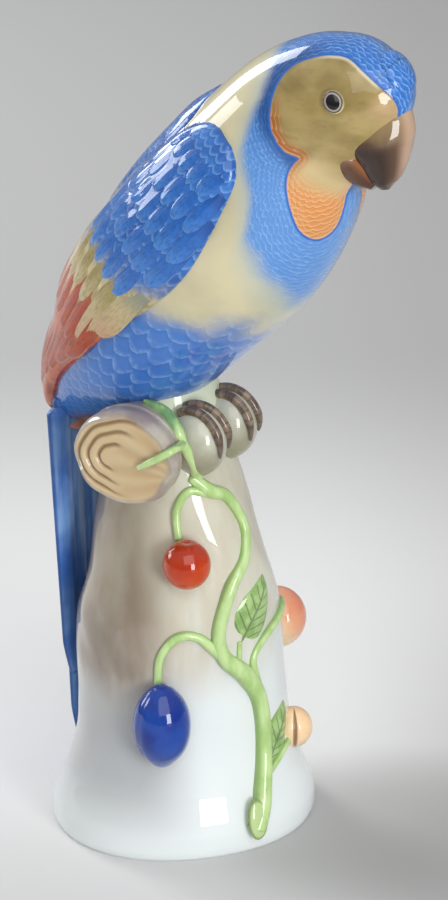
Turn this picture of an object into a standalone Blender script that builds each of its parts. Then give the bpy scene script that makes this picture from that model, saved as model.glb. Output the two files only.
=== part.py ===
"""Glazed porcelain parrot perched on a fruiting tree stump: one hollow slip-cast and fired piece.

The bird looks along +X, +Z is up, and the foot stands on Z = 0. The forms that are cast, pressed
and luted together before the firing are modelled one by one, joined into a single body, and
hollowed out from the opening under the foot. Lengths are in metres, and MM turns millimetres to them.
"""

import math

import bmesh
import bpy
from mathutils import Matrix, Vector

MM = 0.001

# Cast wall, the wider foot that it stands on, and the height over which the foot thins to the wall
WALL = 5.5 * MM
FOOT_WIDTH = 13.0 * MM
FOOT_FADE = 30.0 * MM

# Stump: height above the table, radius, and X of the section's middle
STUMP_SECTIONS = [
    (0 * MM, 56.5 * MM, 0 * MM),
    (4 * MM, 58.5 * MM, 0 * MM),
    (14 * MM, 56.5 * MM, 0 * MM),
    (29 * MM, 50.5 * MM, 0 * MM),
    (48 * MM, 46.0 * MM, 0 * MM),
    (70 * MM, 45.0 * MM, -1 * MM),
    (92 * MM, 45.5 * MM, -3 * MM),
    (110 * MM, 44.5 * MM, -4 * MM),
    (130 * MM, 40.0 * MM, -2 * MM),
    (150 * MM, 36.0 * MM, -3 * MM),
    (170 * MM, 31.5 * MM, -5 * MM),
    (188 * MM, 27.5 * MM, -6 * MM),
    (200 * MM, 24.5 * MM, -6 * MM),
    (212 * MM, 22.0 * MM, -6 * MM),
    (226 * MM, 19.0 * MM, -7 * MM),
]
STUMP_OVAL = 0.10
STUMP_OVAL_TURN = 50
STUMP_OVAL_FADE = 0.6
BARK_SWELL = 0.035
BARK_SWELLS = 3
BARK_TWIST = 22 * MM
BARK_FROM = 60 * MM
BARK_FULL = 120 * MM
STUMP_RINGS = 20
STUMP_AROUND = 26
NECK_IN_BIRD = 26 * MM
PERCH_HEIGHT = STUMP_SECTIONS[-1][0] - NECK_IN_BIRD

# Sawn side branch: where its axis leaves the stump, its heading from +X, and its sections
STUB_DROP = 2.0 * MM
STUB_BASE = Vector((-7.7 * MM, 0.3 * MM, PERCH_HEIGHT - STUB_DROP))
STUB_HEADING = -80
STUB_SECTIONS = [
    (8 * MM, 13 * MM, 17 * MM),
    (26 * MM, 18.5 * MM, 20 * MM),
    (36 * MM, 23.5 * MM, 22.5 * MM),
    (43 * MM, 26 * MM, 23 * MM),
    (48 * MM, 24.6 * MM, 21.4 * MM),
]
STUB_GROOVE_SCALES = [0.92, 0.84, 0.72, 0.62, 0.52, 0.42]
STUB_GROOVE_DEPTH = 1.6 * MM
STUB_PITH_SHIFT = 7 * MM
STUB_AROUND = 20

# Two knobs under the feet, measured from the perch, and the toes that grip them
KNOB_FORWARD = 17.0 * MM
KNOB_APART = 12.0 * MM
KNOB_DROP = 1.0 * MM
KNOB_SIZE = Vector((14.0 * MM, 12.3 * MM, 16.5 * MM))
TOE_RADIUS = 2.2 * MM
TOE_SPREAD = 4.4 * MM
TOE_START = 118
TOE_END = -12
TOE_TWIST = 5.0 * MM
TOE_UNTWISTED_AT = 0.5
TOE_POINTS = 7
TOE_STAND = 0.35
TOE_SPREAD_AT_ROOT = 0.55
TOE_SPREAD_AT_TIP = 1.15
CLAW_FROM = 0.75
CLAW_TIP = 0.3

# Trunk, neck and head: X, height above the perch, half depth, half width; tail root first
BIRD_SECTIONS = [
    (-57 * MM, -4 * MM, 8 * MM, 20 * MM),
    (-51 * MM, 5 * MM, 15 * MM, 23 * MM),
    (-41 * MM, 17 * MM, 23 * MM, 29 * MM),
    (-22 * MM, 36 * MM, 35 * MM, 37 * MM),
    (4 * MM, 70 * MM, 42.5 * MM, 42 * MM),
    (30 * MM, 102 * MM, 46 * MM, 43 * MM),
    (49 * MM, 131 * MM, 43.5 * MM, 38.5 * MM),
    (63 * MM, 152 * MM, 37 * MM, 32.5 * MM),
    (79 * MM, 166 * MM, 32.5 * MM, 29 * MM),
    (95 * MM, 176 * MM, 26.0 * MM, 23.5 * MM),
    (106 * MM, 182.5 * MM, 18.3 * MM, 16.0 * MM),
    (111.5 * MM, 186.5 * MM, 10.5 * MM, 9.5 * MM),
]
BROW_RISE = 4.2 * MM
BROW_TURNS = (35, 68)
BIRD_RINGS = 26
BIRD_AROUND = 24
BIRD_HOLLOW_FROM = 0.14
BIRD_HOLLOW_TO = 0.84
STUMP_HOLLOW_TO = 0.40
HOLLOW_RINGS = 11
HOLLOW_AROUND = 14

# Beak, measured from the middle of the face section: X, Z, half depth, half width
FACE_SECTION = 9
FACE_SHARE = FACE_SECTION / (len(BIRD_SECTIONS) - 1)
UPPER_BEAK_SECTIONS = [
    (0 * MM, -5 * MM, 17 * MM, 15 * MM),
    (8 * MM, -12.5 * MM, 16 * MM, 14.5 * MM),
    (10 * MM, -21.5 * MM, 13.6 * MM, 15.5 * MM),
    (11 * MM, -31 * MM, 9.8 * MM, 10.5 * MM),
    (11 * MM, -38 * MM, 5.8 * MM, 6.5 * MM),
    (11.5 * MM, -42 * MM, 2.0 * MM, 2.2 * MM),
]
LOWER_BEAK_SECTIONS = [
    (-10 * MM, -24 * MM, 10 * MM, 19.5 * MM),
    (-4 * MM, -31 * MM, 9.5 * MM, 16.5 * MM),
    (2 * MM, -36.5 * MM, 7 * MM, 11 * MM),
    (8 * MM, -40.5 * MM, 3.2 * MM, 5 * MM),
]
BEAK_WEDGE = 0.25
UPPER_BEAK_RINGS = (11, 14)
LOWER_BEAK_RINGS = (7, 12)
EYE_SHARE = 0.820
EYE_ANGLE = 88.5
EYE_RADIUS = 5.2 * MM
EYE_BULGE = 2.4 * MM

# Wing stations: share of the bird's length, upper and lower edge angles, thickness above and below
WING_STATIONS = [
    (0.605, 60, 76, 1.5 * MM, 1.5 * MM),
    (0.592, 48, 86, 3.0 * MM, 3.5 * MM),
    (0.565, 41, 93, 4.5 * MM, 5.0 * MM),
    (0.500, 35, 98, 6.5 * MM, 5.5 * MM),
    (0.430, 27, 101, 8.5 * MM, 5.5 * MM),
    (0.370, 20, 97, 10.0 * MM, 5.0 * MM),
    (0.300, 9, 84, 12.0 * MM, 5.0 * MM),
    (0.200, 3, 74, 12.5 * MM, 5.0 * MM),
    (0.090, 3, 64, 11.5 * MM, 5.0 * MM),
    (-0.010, 5, 56, 8.0 * MM, 4.5 * MM),
    (-0.040, 18, 46, 4.0 * MM, 3.0 * MM),
]
WING_RINGS = 19
WING_ACROSS = 10
WING_SINK = 3.0 * MM

# Mantle between the wings: share, half angle and thickness
MANTLE_STATIONS = [
    (0.590, 12, 0.8 * MM),
    (0.560, 30, 2.5 * MM),
    (0.500, 30, 4.5 * MM),
    (0.430, 23, 7.0 * MM),
    (0.370, 16, 8.8 * MM),
    (0.310, 8, 9.5 * MM),
    (0.260, 4, 6.0 * MM),
]
MANTLE_RINGS = 10
MANTLE_ACROSS = 6

# Long flight feathers and rounded coverts that lie on the wing: base share, base angle, tip share,
# tip angle and half width
FLIGHT_FEATHERS = [
    (0.27, 21, 0.04, 27, 4.2 * MM),
    (0.29, 32, 0.06, 36, 4.6 * MM),
    (0.30, 44, 0.10, 45, 5.0 * MM),
    (0.32, 57, 0.15, 54, 5.6 * MM),
    (0.36, 72, 0.21, 65, 6.4 * MM),
]
COVERT_ROWS = [
    (0.365, 0.290, 28, 75, 4, 7.2 * MM),
    (0.425, 0.350, 34, 84, 4, 7.4 * MM),
    (0.485, 0.415, 46, 86, 3, 7.4 * MM),
]
COVERT_SWEEP = 4
FEATHER_THICKNESS = 1.8 * MM
FEATHER_SEAT = 0.9

# Outline of a feather or leaf: where on a sine it starts and ends, its power, and its least width
BLADE_FROM = 0.10
BLADE_TO = 0.97
BLADE_POWER = 0.85
BLADE_LEAST = 0.12
BLADE_THIN = 0.4

# Tail feathers, measured from the tail root: side offset, length, half width and start height
TAIL_FEATHERS = [
    (0 * MM, 208 * MM, 11.5 * MM, 14 * MM),
    (12 * MM, 180 * MM, 9.0 * MM, 11 * MM),
    (20 * MM, 134 * MM, 7.0 * MM, 6 * MM),
]
TAIL_THICKNESS = 4.0 * MM
TAIL_STEP = 1.6 * MM
TAIL_LEAN = 1.2
TAIL_STATIONS = 6
TAIL_AROUND = 8
TAIL_NARROWED = 0.80
TAIL_TIP_FROM = 0.86
TAIL_TIP_WIDTH = 0.18
TAIL_THINNED = 0.6
TAIL_GATHER = 0.45

# Vine up the front of the stump: turn from +X, height and radius; the stems branch off it
VINE = [
    (-16, 12 * MM, 4.6 * MM),
    (-8, 27 * MM, 4.6 * MM),
    (-1, 50 * MM, 4.0 * MM),
    (-2, 72 * MM, 4.2 * MM),
    (-12, 87 * MM, 4.6 * MM),
    (-25, 98 * MM, 3.8 * MM),
    (-27, 112 * MM, 3.4 * MM),
    (-19, 131 * MM, 3.2 * MM),
    (-4, 144 * MM, 2.8 * MM),
    (3, 158 * MM, 2.6 * MM),
    (-6, 171 * MM, 2.8 * MM),
    (-22, 176 * MM, 3.4 * MM),
    (-36, 183 * MM, 2.8 * MM),
]
CHERRY_STEM = [
    (-24, 175 * MM, 2.2 * MM),
    (-41, 177 * MM, 2.0 * MM),
    (-52, 169 * MM, 1.9 * MM),
    (-53, 156 * MM, 1.9 * MM),
]
PLUM_STEM = [
    (-25, 97 * MM, 2.8 * MM),
    (-40, 109 * MM, 2.3 * MM),
    (-54, 110 * MM, 2.1 * MM),
    (-64, 101 * MM, 2.0 * MM),
    (-67, 86 * MM, 2.0 * MM),
]
PEACH_STEM = [
    (-2, 80 * MM, 2.4 * MM),
    (-4, 93 * MM, 2.0 * MM),
    (7, 101 * MM, 1.9 * MM),
    (22, 105 * MM, 1.9 * MM),
    (40, 106 * MM, 1.9 * MM),
    (58, 100 * MM, 1.9 * MM),
]
LEAF_STEM = [
    (-15, 90 * MM, 1.6 * MM),
    (-13, 103 * MM, 1.4 * MM),
]
NUT_STEM = [
    (-1, 34 * MM, 1.8 * MM),
    (14, 40 * MM, 1.6 * MM),
    (30, 44 * MM, 1.6 * MM),
]

# Over the sawn branch the vine runs free of the stump, given by X, Y, Z and radius. It ends in a
# long leaf on top of the branch, and a tendril turns off across the sawn face.
VINE_TOP = [
    (18.5 * MM, -14.5 * MM, 181.5 * MM, 2.8 * MM),
    (20.5 * MM, -19.0 * MM, 190.5 * MM, 2.8 * MM),
    (19.5 * MM, -23.5 * MM, 198.5 * MM, 2.6 * MM),
    (18.6 * MM, -26.5 * MM, 203.8 * MM, 2.8 * MM),
    (17.6 * MM, -27.7 * MM, 208.2 * MM, 3.2 * MM),
    (14.5 * MM, -27.3 * MM, 212.0 * MM, 3.4 * MM),
    (9.5 * MM, -26.3 * MM, 215.8 * MM, 3.0 * MM),
    (4.5 * MM, -27.0 * MM, 218.3 * MM, 2.2 * MM),
    (-1.0 * MM, -27.0 * MM, 219.4 * MM, 1.0 * MM),
]
TENDRIL = [
    (18.6 * MM, -26.5 * MM, 203.8 * MM, 2.2 * MM),
    (22.3 * MM, -33.5 * MM, 205.5 * MM, 2.0 * MM),
    (24.0 * MM, -40.5 * MM, 206.8 * MM, 1.9 * MM),
    (21.4 * MM, -44.2 * MM, 204.7 * MM, 1.9 * MM),
    (14.2 * MM, -45.8 * MM, 199.9 * MM, 1.7 * MM),
    (9.3 * MM, -46.6 * MM, 196.5 * MM, 1.2 * MM),
]
TUBE_ROUNDING = 1
TUBE_STAND = 0.25
TUBE_MERGE = 0.01 * MM

# Fruits: turn, height, how far the middle stands off the bark, and the radii across and up
CHERRY = (-49, 147 * MM, 7.0 * MM, 11.0 * MM, 11.6 * MM)
PLUM = (-65, 70 * MM, 8.0 * MM, 13.5 * MM, 21.0 * MM)
PEACH = (66, 86.5 * MM, 5.0 * MM, 14.5 * MM, 15.0 * MM)
NUT = (31, 45 * MM, 1.5 * MM, 9.0 * MM, 10.0 * MM)

# Leaves: base turn and height, tip turn and height, half width
LEAVES = [
    (-13, 101 * MM, 11, 131 * MM, 10.5 * MM),
    (1, 38 * MM, 24, 62 * MM, 8.5 * MM),
]
LEAF_THICKNESS = 1.8 * MM

# Seams shorter than this close up, and faces flatter than this many degrees merge
SEAM_MERGE = 0.02 * MM
FLAT_WITHIN = 2.0

BODY_NAME = "porcelain_parrot"
GLAZE_COLOUR = (0.30, 0.42, 0.62, 1.0)
GLAZE_ROUGHNESS = 0.12
SHARP_ABOVE = 35


def blend(values, position):
    """Smooth interpolation of a list of equal-length tuples, at a place from 0 to its last index."""
    last = len(values) - 1
    index = max(0, min(int(math.floor(position)), last - 1))
    part = position - index
    before = values[max(index - 1, 0)]
    here = values[index]
    there = values[index + 1]
    after = values[min(index + 2, last)]
    made = []
    for a, b, c, d in zip(before, here, there, after):
        bend = (2 * a - 5 * b + 4 * c - d) * part**2 + (3 * b - a - 3 * c + d) * part**3
        made.append(0.5 * (2 * b + (c - a) * part + bend))
    return tuple(made)


def mix(low, high, part):
    return low + (high - low) * part


def clamp(value):
    return min(max(value, 0.0), 1.0)


def new_object(name, bm, collection):
    mesh = bpy.data.meshes.new(name)
    bmesh.ops.recalc_face_normals(bm, faces=bm.faces)
    bmesh.ops.triangulate(bm, faces=bm.faces)
    bm.to_mesh(mesh)
    bm.free()
    obj = bpy.data.objects.new(name, mesh)
    collection.objects.link(obj)
    return obj


def loft(name, rings, collection):
    """A closed body through rings that each have the same number of points."""
    bm = bmesh.new()
    loops = [[bm.verts.new(point) for point in ring] for ring in rings]
    around = len(rings[0])
    for low, high in zip(loops, loops[1:]):
        for k in range(around):
            after = (k + 1) % around
            bm.faces.new((low[k], low[after], high[after], high[k]))
    for loop in (loops[0], loops[-1]):
        middle = bm.verts.new(sum((v.co for v in loop), Vector()) / around)
        for k in range(around):
            bm.faces.new((loop[k], loop[(k + 1) % around], middle))
    return new_object(name, bm, collection)


class Spine:
    """Oval sections along a path in the XZ plane. Angle 0 is the back's midline and 90 the -Y side."""

    def __init__(self, sections, origin=Vector(), wedge=0.0):
        self.sections = sections
        self.origin = origin
        self.wedge = wedge

    def section(self, share):
        last = len(self.sections) - 1
        place = share * last
        x, z, depth, width = blend(self.sections, place)
        low = blend(self.sections, max(place - 0.1, 0))
        high = blend(self.sections, min(place + 0.1, last))
        along = Vector((high[0] - low[0], 0, high[1] - low[1])).normalized()
        return self.origin + Vector((x, 0, z)), along, depth, width

    def point(self, share, angle, lift=0.0):
        centre, along, depth, width = self.section(share)
        back = Vector((-along.z, 0, along.x))
        side = Vector((0, -1, 0))
        turn = math.radians(angle)
        out = back * (depth + lift) * math.cos(turn)
        width *= 1 - self.wedge * math.cos(turn)
        return centre + out + side * (width + lift) * math.sin(turn)

    def rings(self, count, around, start=0.0, end=1.0, lift=0.0):
        shares = [mix(start, end, i / (count - 1)) for i in range(count)]
        return [[self.point(s, 360 * k / around, lift) for k in range(around)] for s in shares]


def bark_point(turn, height, lift=0.0):
    """A point on the stump, at an angle from +X and a height, or lifted off it."""
    heights = [section[0] for section in STUMP_SECTIONS]
    place = 0
    while place < len(heights) - 2 and heights[place + 1] < height:
        place += 1
    part = (height - heights[place]) / (heights[place + 1] - heights[place])
    _, radius, middle = blend(STUMP_SECTIONS, place + part)
    gnarl = clamp((height - BARK_FROM) / (BARK_FULL - BARK_FROM))
    angle = math.radians(turn)
    oval = STUMP_OVAL * (1 - STUMP_OVAL_FADE * gnarl)
    radius *= 1 + oval * math.cos(2 * (angle - math.radians(STUMP_OVAL_TURN)))
    radius *= 1 + gnarl * BARK_SWELL * math.cos(BARK_SWELLS * angle + height / BARK_TWIST)
    reach = radius + lift
    return Vector((middle + reach * math.cos(angle), reach * math.sin(angle), height))


def surface_frame(surface, a, b, step_a, step_b):
    """Point, unit normal and the two slopes of a surface given by two parameters."""
    here = surface(a, b)
    slope_a = (surface(a + step_a, b) - surface(a - step_a, b)) / (2 * step_a)
    slope_b = (surface(a, b + step_b) - surface(a, b - step_b)) / (2 * step_b)
    normal = slope_a.cross(slope_b).normalized()
    if normal.dot(surface(a, b, MM) - here) < 0:
        normal = -normal
    return here, normal, slope_a, slope_b


def blade(name, surface, base, tip, half_width, thickness, steps, collection, ribs=6, around=6):
    """A feather or leaf that lies on a surface, from its base to its tip."""
    step_a, step_b = steps
    rings = []
    for i in range(ribs):
        t = i / (ribs - 1)
        a = mix(base[0], tip[0], t)
        b = mix(base[1], tip[1], t)
        _, normal, slope_a, slope_b = surface_frame(surface, a, b, step_a, step_b)
        heading = (slope_a * (tip[0] - base[0]) + slope_b * (tip[1] - base[1])).normalized()
        side = normal.cross(heading).normalized()
        fullness = math.sin(math.pi * mix(BLADE_FROM, BLADE_TO, t) ** BLADE_POWER)
        fullness = max(fullness, BLADE_LEAST)
        ring = []
        for k in range(around):
            turn = 2 * math.pi * k / around
            offset = half_width * fullness * math.cos(turn)
            rise = thickness * mix(BLADE_THIN, 1.0, fullness) * math.sin(turn)
            shift_a = offset * side.dot(slope_a) / slope_a.length_squared
            shift_b = offset * side.dot(slope_b) / slope_b.length_squared
            ring.append(surface(a + shift_a, b + shift_b, rise))
        rings.append(ring)
    return loft(name, rings, collection)


def make_stump(collection):
    top = STUMP_SECTIONS[-1][0]
    rings = []
    for i in range(STUMP_RINGS):
        height = top * i / (STUMP_RINGS - 1)
        rings.append([bark_point(360 * k / STUMP_AROUND, height) for k in range(STUMP_AROUND)])
    return loft("stump", rings, collection)


def make_stub(collection):
    """The sawn branch, with the grooves of its year rings drawn out towards the stump's front."""
    heading = math.radians(STUB_HEADING)
    along = Vector((math.cos(heading), math.sin(heading), 0))
    side = Vector((-along.y, along.x, 0))
    rings = []

    def add_ring(reach, half_width, half_height, shift):
        ring = []
        for k in range(STUB_AROUND):
            turn = 2 * math.pi * k / STUB_AROUND
            across = side * (half_width * math.cos(turn) - shift)
            up = Vector((0, 0, half_height * math.sin(turn)))
            ring.append(STUB_BASE + along * reach + across + up)
        rings.append(ring)

    for reach, half_width, half_height in STUB_SECTIONS:
        add_ring(reach, half_width, half_height, 0)
    reach, half_width, half_height = STUB_SECTIONS[-1]
    for i, scale in enumerate(STUB_GROOVE_SCALES):
        depth = STUB_GROOVE_DEPTH if i % 2 else 0
        shift = STUB_PITH_SHIFT * (1 - scale)
        add_ring(reach - depth, half_width * scale, half_height * scale, shift)
    return loft("stub", rings, collection)


def make_feet(collection):
    """The knobs under the feet, and two toes over each of them."""
    for side in (-1, 1):
        centre = Vector((KNOB_FORWARD, side * KNOB_APART, PERCH_HEIGHT - KNOB_DROP))
        bm = bmesh.new()
        scale = Matrix.Diagonal(KNOB_SIZE).to_4x4()
        place = Matrix.Translation(centre) @ scale
        bmesh.ops.create_uvsphere(bm, u_segments=12, v_segments=8, radius=1, matrix=place)
        new_object("knob", bm, collection)
        for offset in (-TOE_SPREAD, TOE_SPREAD):
            points = []
            for i in range(TOE_POINTS):
                t = i / (TOE_POINTS - 1)
                turn = math.radians(mix(TOE_START, TOE_END, t))
                lift = TOE_RADIUS * TOE_STAND
                spread = offset * mix(TOE_SPREAD_AT_ROOT, TOE_SPREAD_AT_TIP, t)
                spread += TOE_TWIST * (t - TOE_UNTWISTED_AT)
                squeeze = math.sqrt(1 - (spread / KNOB_SIZE.y) ** 2)
                x = (KNOB_SIZE.x * squeeze + lift) * math.cos(turn)
                z = (KNOB_SIZE.z * squeeze + lift) * math.sin(turn)
                thin = mix(1, CLAW_TIP, clamp((t - CLAW_FROM) / (1 - CLAW_FROM)))
                points.append((centre + Vector((x, spread, z)), TOE_RADIUS * thin))
            tube("toe", points, collection)


def tube(name, points, collection):
    """A round rod through points that each have their own radius, with closed ends."""
    curve = bpy.data.curves.new(name, "CURVE")
    curve.dimensions = "3D"
    curve.bevel_depth = 1.0
    curve.bevel_resolution = TUBE_ROUNDING
    curve.use_fill_caps = True
    spline = curve.splines.new("POLY")
    spline.points.add(len(points) - 1)
    for target, (place, radius) in zip(spline.points, points):
        target.co = (*place, 1)
        target.radius = radius
    guide = bpy.data.objects.new(name, curve)
    bpy.context.scene.collection.objects.link(guide)
    graph = bpy.context.evaluated_depsgraph_get()
    mesh = bpy.data.meshes.new_from_object(guide.evaluated_get(graph))
    bm = bmesh.new()
    bm.from_mesh(mesh)
    bmesh.ops.remove_doubles(bm, verts=bm.verts, dist=TUBE_MERGE)
    bpy.data.objects.remove(guide)
    bpy.data.meshes.remove(mesh)
    return new_object(name, bm, collection)


def bark_tube(name, course, points_each, collection):
    """A vine or stem that lies on the bark, half sunk into it."""
    count = (len(course) - 1) * points_each + 1
    points = []
    for i in range(count):
        turn, height, radius = blend(course, i / points_each)
        points.append((bark_point(turn, height, radius * TUBE_STAND), radius))
    return tube(name, points, collection)


def make_vine(collection):
    bark_tube("vine", VINE, 2, collection)
    for name, course in (
        ("cherry_stem", CHERRY_STEM),
        ("plum_stem", PLUM_STEM),
        ("peach_stem", PEACH_STEM),
        ("leaf_stem", LEAF_STEM),
        ("nut_stem", NUT_STEM),
    ):
        bark_tube(name, course, 2, collection)
    for name, course in (("vine_top", VINE_TOP), ("tendril", TENDRIL)):
        tube(name, [(Vector(place), radius) for *place, radius in course], collection)
    for turn, height, tip_turn, tip_height, half_width in LEAVES:
        base = (turn, height)
        tip = (tip_turn, tip_height)
        blade("leaf", bark_point, base, tip, half_width, LEAF_THICKNESS, (1.0, MM), collection, 8, 8)


def make_fruit(collection):
    for name, (turn, height, stand, across, up) in (
        ("cherry", CHERRY),
        ("plum", PLUM),
        ("peach", PEACH),
        ("nut", NUT),
    ):
        bm = bmesh.new()
        place = Matrix.Translation(bark_point(turn, height, stand))
        scale = Matrix.Diagonal((across, across, up)).to_4x4()
        bmesh.ops.create_uvsphere(bm, u_segments=12, v_segments=9, radius=1, matrix=place @ scale)
        new_object(name, bm, collection)


def make_trunk(bird, collection):
    """Trunk, neck and head in one, closed by a low dome at the brow."""
    rings = bird.rings(BIRD_RINGS, BIRD_AROUND)
    _, along, _, _ = bird.section(1)
    middle = sum(rings[-1], Vector()) / BIRD_AROUND
    for turn in BROW_TURNS:
        rise = along * BROW_RISE * math.sin(math.radians(turn))
        reach = math.cos(math.radians(turn))
        rings.append([middle + (point - middle) * reach + rise for point in rings[BIRD_RINGS - 1]])
    loft("bird", rings, collection)


def make_head(bird, collection):
    centre = bird.section(FACE_SHARE)[0]
    upper = Spine(UPPER_BEAK_SECTIONS, centre, BEAK_WEDGE)
    lower = Spine(LOWER_BEAK_SECTIONS, centre)
    loft("upper_beak", upper.rings(*UPPER_BEAK_RINGS), collection)
    loft("lower_beak", lower.rings(*LOWER_BEAK_RINGS), collection)
    for angle in (EYE_ANGLE, -EYE_ANGLE):
        place, normal, _, _ = surface_frame(bird.point, EYE_SHARE, angle, 0.005, 1.0)
        turned = normal.to_track_quat("Z", "Y").to_matrix().to_4x4()
        scale = Matrix.Diagonal((EYE_RADIUS, EYE_RADIUS, EYE_BULGE)).to_4x4()
        bm = bmesh.new()
        matrix = Matrix.Translation(place) @ turned @ scale
        bmesh.ops.create_uvsphere(bm, u_segments=12, v_segments=6, radius=1, matrix=matrix)
        new_object("eye", bm, collection)


def wing_lift(position, across):
    """How far the wing's face stands off the bird, at a station and a share of its width."""
    _, _, _, above, below = blend(WING_STATIONS, position)
    return mix(above, below, across)


def wing_point(bird, side):
    """A surface over one wing, given by the bird's share and angle."""
    shares = [station[0] for station in WING_STATIONS]

    def point(share, angle, lift=0.0):
        place = 0
        while place < len(shares) - 2 and shares[place + 1] > share:
            place += 1
        part = (share - shares[place]) / (shares[place + 1] - shares[place])
        position = place + part
        _, upper, lower, _, _ = blend(WING_STATIONS, position)
        across = clamp((angle - upper) / (lower - upper))
        stand = wing_lift(position, across) * FEATHER_SEAT
        return bird.point(share, side * angle, stand + lift)

    return point


def make_wing(bird, side, collection):
    rings = []
    last = len(WING_STATIONS) - 1
    for i in range(WING_RINGS):
        position = last * i / (WING_RINGS - 1)
        share, upper, lower, _, _ = blend(WING_STATIONS, position)
        outer = []
        inner = []
        for k in range(WING_ACROSS + 1):
            across = k / WING_ACROSS
            edge = (1 - abs(2 * across - 1) ** 5) ** 0.5
            angle = mix(upper, lower, across)
            stand = mix(-0.5 * WING_SINK, wing_lift(position, across), edge)
            outer.append(bird.point(share, side * angle, stand))
            if 0 < k < WING_ACROSS and k % 2 == 0:
                inner.append(bird.point(share, side * angle, -WING_SINK))
        rings.append(outer + inner[::-1])
    loft("wing", rings, collection)

    surface = wing_point(bird, side)
    steps = (0.004, 0.5)
    for base, base_angle, tip, tip_angle, half_width in FLIGHT_FEATHERS:
        start = (base, base_angle)
        end = (tip, tip_angle)
        blade("flight", surface, start, end, half_width, FEATHER_THICKNESS, steps, collection)
    for base, tip, first, final, count, half_width in COVERT_ROWS:
        for k in range(count):
            angle = mix(first, final, k / (count - 1))
            start = (base, angle)
            end = (tip, angle - COVERT_SWEEP)
            blade("covert", surface, start, end, half_width, FEATHER_THICKNESS, steps, collection, 5)


def make_mantle(bird, collection):
    """The low ridge of back feathers between the wings."""
    rings = []
    last = len(MANTLE_STATIONS) - 1
    for i in range(MANTLE_RINGS):
        share, half_angle, height = blend(MANTLE_STATIONS, last * i / (MANTLE_RINGS - 1))
        outer = []
        inner = []
        for k in range(MANTLE_ACROSS + 1):
            across = 2 * k / MANTLE_ACROSS - 1
            edge = (1 - abs(across) ** 3) ** 0.5
            angle = across * half_angle
            outer.append(bird.point(share, angle, mix(-0.5 * WING_SINK, height, edge)))
            if 0 < k < MANTLE_ACROSS:
                inner.append(bird.point(share, angle, -WING_SINK))
        rings.append(outer + inner[::-1])
    loft("mantle", rings, collection)


def make_tail(bird, collection):
    """Overlapping long feathers that hang behind the stump."""
    root = bird.section(0)[0]
    lean = math.tan(math.radians(TAIL_LEAN))
    for order, (offset, length, half_width, start) in enumerate(TAIL_FEATHERS):
        for side in (-1, 1) if offset else (1,):
            rings = []
            for i in range(TAIL_STATIONS):
                t = i / (TAIL_STATIONS - 1)
                drop = length * t - start
                tip = clamp((t - TAIL_TIP_FROM) / (1 - TAIL_TIP_FROM))
                taper = mix(mix(1, TAIL_NARROWED, t), TAIL_TIP_WIDTH, tip)
                x = root.x + order * TAIL_STEP + (length * t) * lean
                y = side * offset * mix(1, TAIL_GATHER, t * length / TAIL_FEATHERS[0][1])
                ring = []
                for k in range(TAIL_AROUND):
                    turn = 2 * math.pi * k / TAIL_AROUND
                    across = half_width * taper * math.cos(turn)
                    through = TAIL_THICKNESS * mix(1, TAIL_THINNED, t) * math.sin(turn)
                    ring.append(Vector((x + through, y + across, root.z - drop)))
                rings.append(ring)
            loft("tail_feather", rings, collection)


def combine(target, shapes, operation):
    """Unites a body with every shape of a collection, or takes the shapes out of it.

    Every shape is closed. The exact solver leaves open edges where wings, tail and trunk meet.
    """
    change = target.modifiers.new(operation.lower(), "BOOLEAN")
    change.operation = operation
    change.operand_type = "COLLECTION"
    change.collection = shapes
    change.solver = "MANIFOLD"
    graph = bpy.context.evaluated_depsgraph_get()
    mesh = bpy.data.meshes.new_from_object(target.evaluated_get(graph))
    bm = bmesh.new()
    bm.from_mesh(mesh)
    bmesh.ops.triangulate(bm, faces=bm.faces)
    bmesh.ops.dissolve_degenerate(bm, edges=bm.edges, dist=SEAM_MERGE)
    flat = math.radians(FLAT_WITHIN)
    bmesh.ops.dissolve_limit(bm, angle_limit=flat, verts=bm.verts, edges=bm.edges)
    bmesh.ops.triangulate(bm, faces=bm.faces)
    bm.to_mesh(mesh)
    bm.free()
    target.modifiers.clear()
    target.data = mesh
    for obj in list(shapes.objects):
        bpy.data.objects.remove(obj)


def make_hollow(bird, collection):
    """The space that the drained slip leaves, open under the foot."""
    top = bird.section(STUMP_HOLLOW_TO)[0].z
    neck = STUMP_SECTIONS[-1][0]
    rings = []
    for i in range(HOLLOW_RINGS):
        height = mix(-MM, top, i / (HOLLOW_RINGS - 1))
        wall = mix(FOOT_WIDTH, WALL, clamp(height / FOOT_FADE))
        ring = []
        for k in range(HOLLOW_AROUND):
            inside = bark_point(360 * k / HOLLOW_AROUND, min(max(height, 0), neck), -wall)
            ring.append(Vector((inside.x, inside.y, height)))
        rings.append(ring)
    loft("stump_hollow", rings, collection)
    rings = bird.rings(HOLLOW_RINGS, HOLLOW_AROUND, BIRD_HOLLOW_FROM, BIRD_HOLLOW_TO, -WALL)
    loft("bird_hollow", rings, collection)


def clear_scene():
    for obj in list(bpy.data.objects):
        bpy.data.objects.remove(obj, do_unlink=True)


def make_collection(name):
    collection = bpy.data.collections.new(name)
    bpy.context.scene.collection.children.link(collection)
    return collection


def centre_on_origin(body):
    """Moves the finished piece so that its box stands centred over the origin."""
    for axis in (0, 1):
        places = [vertex.co[axis] for vertex in body.data.vertices]
        shift = -(min(places) + max(places)) / 2
        for vertex in body.data.vertices:
            vertex.co[axis] += shift


def glaze():
    material = bpy.data.materials.new("hand_painted_glaze")
    material.use_nodes = True
    shader = material.node_tree.nodes["Principled BSDF"]
    shader.inputs["Base Color"].default_value = GLAZE_COLOUR
    shader.inputs["Roughness"].default_value = GLAZE_ROUGHNESS
    shader.inputs["Metallic"].default_value = 0.0
    return material


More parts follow.
